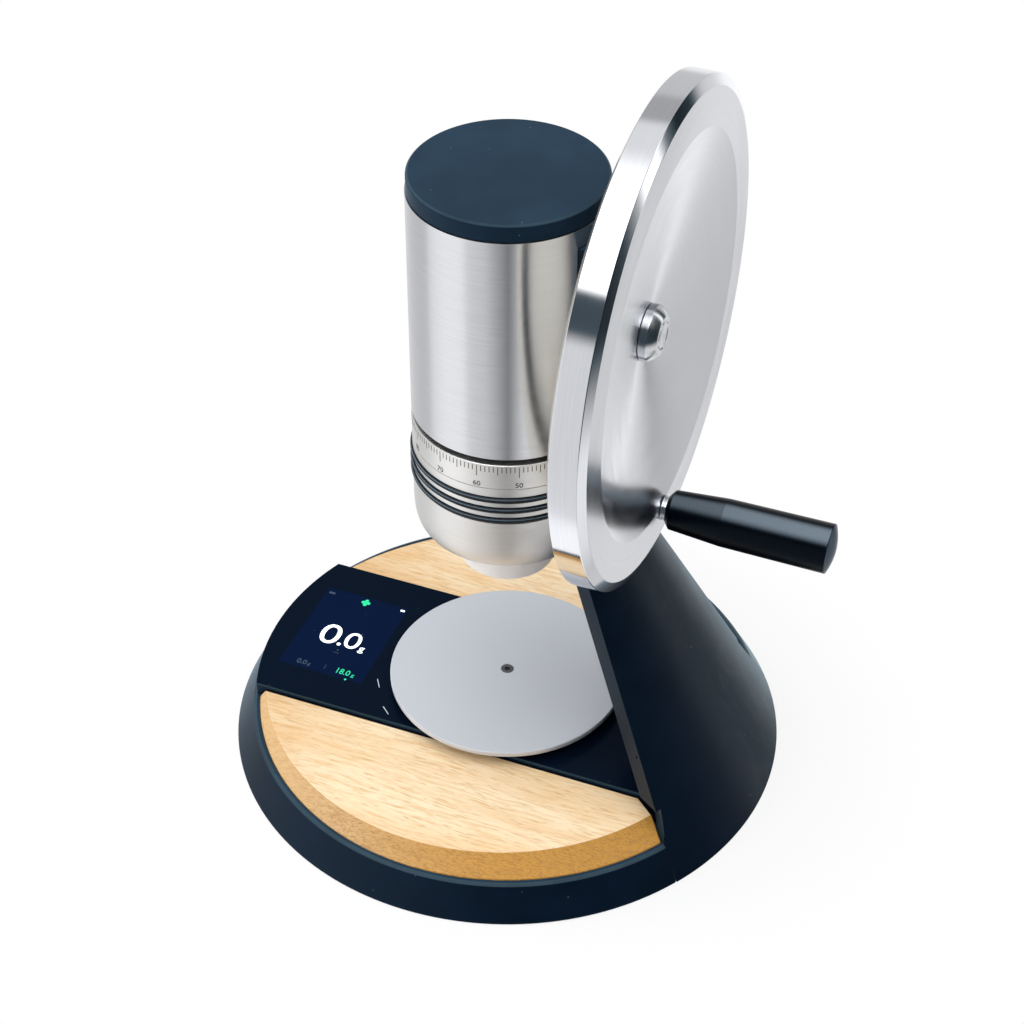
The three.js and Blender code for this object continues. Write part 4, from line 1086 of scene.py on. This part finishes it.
def build_screen():
    """The reading, its unit and a few plain marks."""
    def dot(radius, steps=24):
        return disc(radius, -MARK, MARK, steps)

    reading = on_glass(
        (figures("0", 14.6, width=10.9), -98.7, -2.6),
        (figures("0", 12.0, width=8.7), -85.6, -3.3),
        (dot(1.05), -91.7, -8.2),
        (figures("g", 4.4, width=3.0), -78.9, -8.4),
        (bar(2.3, 1.3), -70.9, 27.6),
    )
    lobes = [
        (dot(1.05), -91.7 + dx, 26.2 + dy)
        for dx, dy in ((1.45, 0), (-1.45, 0), (0, 1.55), (0, -1.55), (0, 0))
    ]
    target = on_glass(
        *lobes,
        (figures("18.0", 3.8, 0.004, 7.2), -80.5, -26.3),
        (figures("g", 2.3, width=1.6), -75.0, -27.6),
        (dot(0.6), -77.4, -31.0),
    )
    faint = on_glass(
        (bar(3.4, 1.4), -111.7, 26.8),
        (figures("0.0", 3.4, 0.01, 5.4), -103.8, -27.0),
        (figures("g", 2.2, 0.01, 1.5), -99.6, -28.0),
        (bar(0.25, 3.4), -91.0, -26.4),
        (bar(3.2, 0.3), -90.2, -14.6),
        (dot(0.5, 16), -90.2, -12.6),
    )
    dashes = on_glass((bar(0.4, 6.2, 33), -60.4, -27.2), (bar(0.4, 6.2, 49), -48.9, -43.7))
    for name, shape, finish in (
        ("screen_reading", reading, "white"), ("screen_target", target, "green"),
        ("screen_faint", faint, "dim"), ("glass_dashes", dashes, "print"),
    ):
        piece(name, shape, FINISH[finish], "stand")


# ---- pan


def build_pan():
    plate = turned(
        [(0, 31.3), (59.9, 31.3), (59.9, 33.4), (59.5, 33.8), (3.4, 33.8), (2.3, 31.9), (0, 31.9)]
    )
    plate = carved(plate, disc(2.3, 20, 40, 48))
    piece("pan_plate", eased(plate, 0.15), FINISH["pan"], "pan", ["scale_pan"])
    head = turned([(0, 24), (2, 24), (2, 32.2), (3.1, 33.3), (3.1, 33.8), (0, 33.8)], 48)
    socket = [
        (1.4 * math.cos(math.radians(turn)), 1.4 * math.sin(math.radians(turn)))
        for turn in range(0, 360, 60)
    ]
    head = carved(head, prism(socket, 32.4, 40))
    piece("pan_bolt", eased(head, 0.2), FINISH["bolt"], "pan", ["pan_screw"])


# ---- head


def build_tube():
    tube = tube_of(42.7, HEAD_RADIUS, TUBE_BOTTOM, TUBE_TOP)
    tube = carved(tube, along_x(disc(6.3, 20, 60, 48)))
    piece("bean_tube", eased(tube, 0.4, 3), FINISH["tube"], "stand",
          ["hopper_tube"])
    sleeve = turned(
        [
            (37.6, 172), (40.1, 172), (40.1, TUBE_BOTTOM), (42.4, TUBE_BOTTOM), (42.4, 214),
            (37.6, 214), (37.6, 203), (28.5, 199.5), (28.5, 197), (37.6, 197),
        ],
        closed=True,
    )
    piece("thread_sleeve", eased(sleeve, 0.2), FINISH["sleeve"], "stand",
          ["threaded_sleeve"])


def build_lid():
    cap = turned(
        [
            (0, 312), (42.1, 312), (42.1, 313.7), (40.5, 313.7), (40.5, 316.7), (42.1, 316.7),
            (42.1, 319.6), (44.2, 319.6), (44.2, 326.9), (43.2, 327.9), (0, 327.9),
        ],
    )
    piece("tube_lid", eased(cap, 0.3), FINISH["lid"], "lid", ["lid"])


def build_collar():
    grooves = []
    for centre in RING_CENTRES:
        low, high = max(centre - 1.75, COLLAR_BOTTOM), centre + 1.75
        if low > COLLAR_BOTTOM:
            grooves.append((HEAD_RADIUS, low))
        grooves += [(42.8, low), (42.8, high), (HEAD_RADIUS, high)]
    collar = turned(
        [(COLLAR_INNER, COLLAR_BOTTOM), *grooves, (HEAD_RADIUS, 188.1), (COLLAR_INNER, 188.1)],
        closed=True,
    )
    piece("turning_collar", eased(collar, 0.15), FINISH["dial"], "adjuster",
          ["adjusting_collar"])
    for number, centre in enumerate(RING_CENTRES, 1):
        section = [
            (44.45 + 1.35 * math.cos(turn), centre + 1.45 * math.sin(turn))
            for turn in (step / 16 * FULL_TURN for step in range(16))
        ]
        piece(f"grip_cord_{number}", turned(section, closed=True), FINISH["cord"],
              "adjuster", [f"grip_ring_{number}"])


def number_angle(reading):
    """Where a reading stands round the dial, in degrees from +X."""
    return 63.2 - 2.5 * reading


def round_dial(shape, angle, height):
    """Wraps a flat mark round the dial's outside."""
    start = math.radians(angle)
    for vert in shape.verts:
        x, y, lift = vert.co
        turn = start + x / (HEAD_RADIUS * MM)
        radius = HEAD_RADIUS * MM + lift
        vert.co = (radius * math.cos(turn), radius * math.sin(turn), y + height * MM)
    return shape


def build_dial():
    dial = turned(
        [
            (COLLAR_INNER, 188.4), (HEAD_RADIUS, 188.4), (HEAD_RADIUS, 201.4),
            (HEAD_RADIUS - 0.4, 201.8), (COLLAR_INNER, 201.8),
        ],
        closed=True,
    )
    piece("dial_band", eased(dial, 0.12), FINISH["dial"], "adjuster", ["dial_ring"])
    marks = []
    for reading in range(91):
        foot = 195.0 if reading % 10 == 0 else 196.5 if reading % 5 == 0 else 197.9
        tick = bar(0.4, 200.9 - foot)
        marks.append(round_dial(tick, number_angle(reading), (200.9 + foot) / 2))
        if reading % 10 == 0:
            number = figures(str(reading), 2.8, 0.02, thickness=MARK)
            marks.append(round_dial(number, number_angle(reading), 190.6))
    piece("dial_marks", gathered(marks), FINISH["ink"], "adjuster")


def build_bowl():
    def curve(foot, top, low, high, steps=20):
        for step in range(steps + 1):
            turn = step / steps * math.pi / 2
            out, down = math.sin(turn) ** (2 / 3), max(math.cos(turn), 0) ** (2 / 3)
            yield foot + (top - foot) * out, high - (high - low) * down

    outside = list(curve(39, HEAD_RADIUS, 139.5, 158))
    inside = list(curve(36.3, 42, 142.2, 158))
    bowl = turned(
        [(22, 139.5), *outside, (HEAD_RADIUS, 168), (28.7, 168), (28.7, 164), (42, 164),
         *reversed(inside), (22, 142.2)],
        closed=True,
    )
    piece("grounds_cup", eased(bowl, 0.25, least=40), FINISH["bowl"], "adjuster",
          ["grounds_bowl"])
    spout = turned(
        [(21.4, 115), (23, 115), (26, 139.2), (21.7, 139.2), (21.7, 145), (20.1, 145),
         (20.1, 137.6), (24.4, 137.6)],
        closed=True,
    )
    piece("grounds_spout", eased(spout, 0.4, 3), FINISH["milky"], "adjuster",
          ["chute"])


# ---- flywheel and grip


def build_wheel():
    slope = (WHEEL_FRONT - DISH_FLOOR) / (DISH_RADIUS - HUB_RADIUS)
    wheel = turned(
        [
            (5.3, WHEEL_BACK), (24, WHEEL_BACK), (87.7, WHEEL_BACK + (87.7 - 24) * slope),
            (DISH_RADIUS, WHEEL_BACK), (WHEEL_BEVEL, WHEEL_BACK), (WHEEL_RADIUS, 62.6),
            (WHEEL_RADIUS, 75.1), (WHEEL_BEVEL, WHEEL_FRONT), (DISH_RADIUS, WHEEL_FRONT),
            (HUB_RADIUS, DISH_FLOOR), (5.3, DISH_FLOOR),
        ],
        WHEEL_TURN, closed=True,
    )
    wheel = along_x(eased(wheel, 0.3, least=5))
    hole = along_x(disc(4.3, 50, 90, 48), GRIP_HEIGHT)
    piece("wheel", carved(wheel, hole), FINISH["wheel"], "flywheel",
          ["flywheel"])
    bulge = [
        (8.9 + 4.1 * along + 0.9 * along * (1 - along),
         72.8 - 4.1 * along + 0.9 * along * (1 - along))
        for along in (step / 8 for step in range(7, 0, -1))
    ]
    cap = turned(
        [
            (0, 69.9), (9, 69.9), (9, 65.3), (HUB_RADIUS, 65.3), (HUB_RADIUS, 68.7), *bulge,
            (8.9, 72.8), (7.0, 72.8), (6.8, 72.3), (6.1, 72.3), (5.9, 72.8), (0, 72.8),
        ],
        96,
    )
    piece("hub_button", along_x(eased(cap, 0.15)), FINISH["hub"], "flywheel",
          ["hub_cap"])
    ring = turned(
        [(4.3, 77.7), (6, 77.7), (6, 78.5), (5.4, 78.6), (5.4, 79.1), (6, 79.2), (6, 80),
         (4.3, 80)],
        96, closed=True,
    )
    piece("grip_collar", along_x(eased(ring, 0.12), GRIP_HEIGHT), FINISH["collar"], "flywheel",
          ["handle_collar"])


def build_grip():
    dome = [(11.7 * reach, 157.3 + 2.5 * (1 - reach * reach))
            for reach in (step / 12 for step in range(11, 0, -1))]
    grip = turned(
        [(0, 152.6), (5.8, 152.6), (5.8, 80.3), (7, 80.3), (9.4, 82.3), (11.35, GRIP_CREASE),
         (11.7, 157.3), *dome, (0, 159.8)],
        128,
    )
    piece("hand_grip", along_x(eased(grip, 0.25, least=25), GRIP_HEIGHT), FINISH["grip"],
          "grip", ["handle_grip"], crease_at=GRIP_CREASE)


# ---- nodes kept as packed


KEPT = {
    "rubber": ["foot_pad", "lid_gasket"],
    "screen": ["display_panel"],
    "board": ["circuit_board"],
    "battery": ["battery"],
    "bronze": ["grip_bush_inner", "grip_bush_outer"],
    "sleeve": ["gear_cover"],
}


def finish_kept_nodes():
    """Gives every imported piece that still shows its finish."""
    given = {node: FINISH[finish] for finish, nodes in KEPT.items() for node in nodes}
    for name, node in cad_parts.items():
        if not node.hide_render:
            node.data.materials.clear()
            node.data.materials.append(given.get(name, FINISH["inner_steel"]))


bpy.context.scene.view_settings.view_transform = "Standard"
for build in (
    build_camera, build_world, build_floor, build_side_lamp, build_base, build_tower, build_neck,
    build_wood, build_scale, build_screen, build_pan, build_tube, build_lid, build_collar,
    build_dial, build_bowl, build_wheel, build_grip,
):
    build()
finish_kept_nodes()
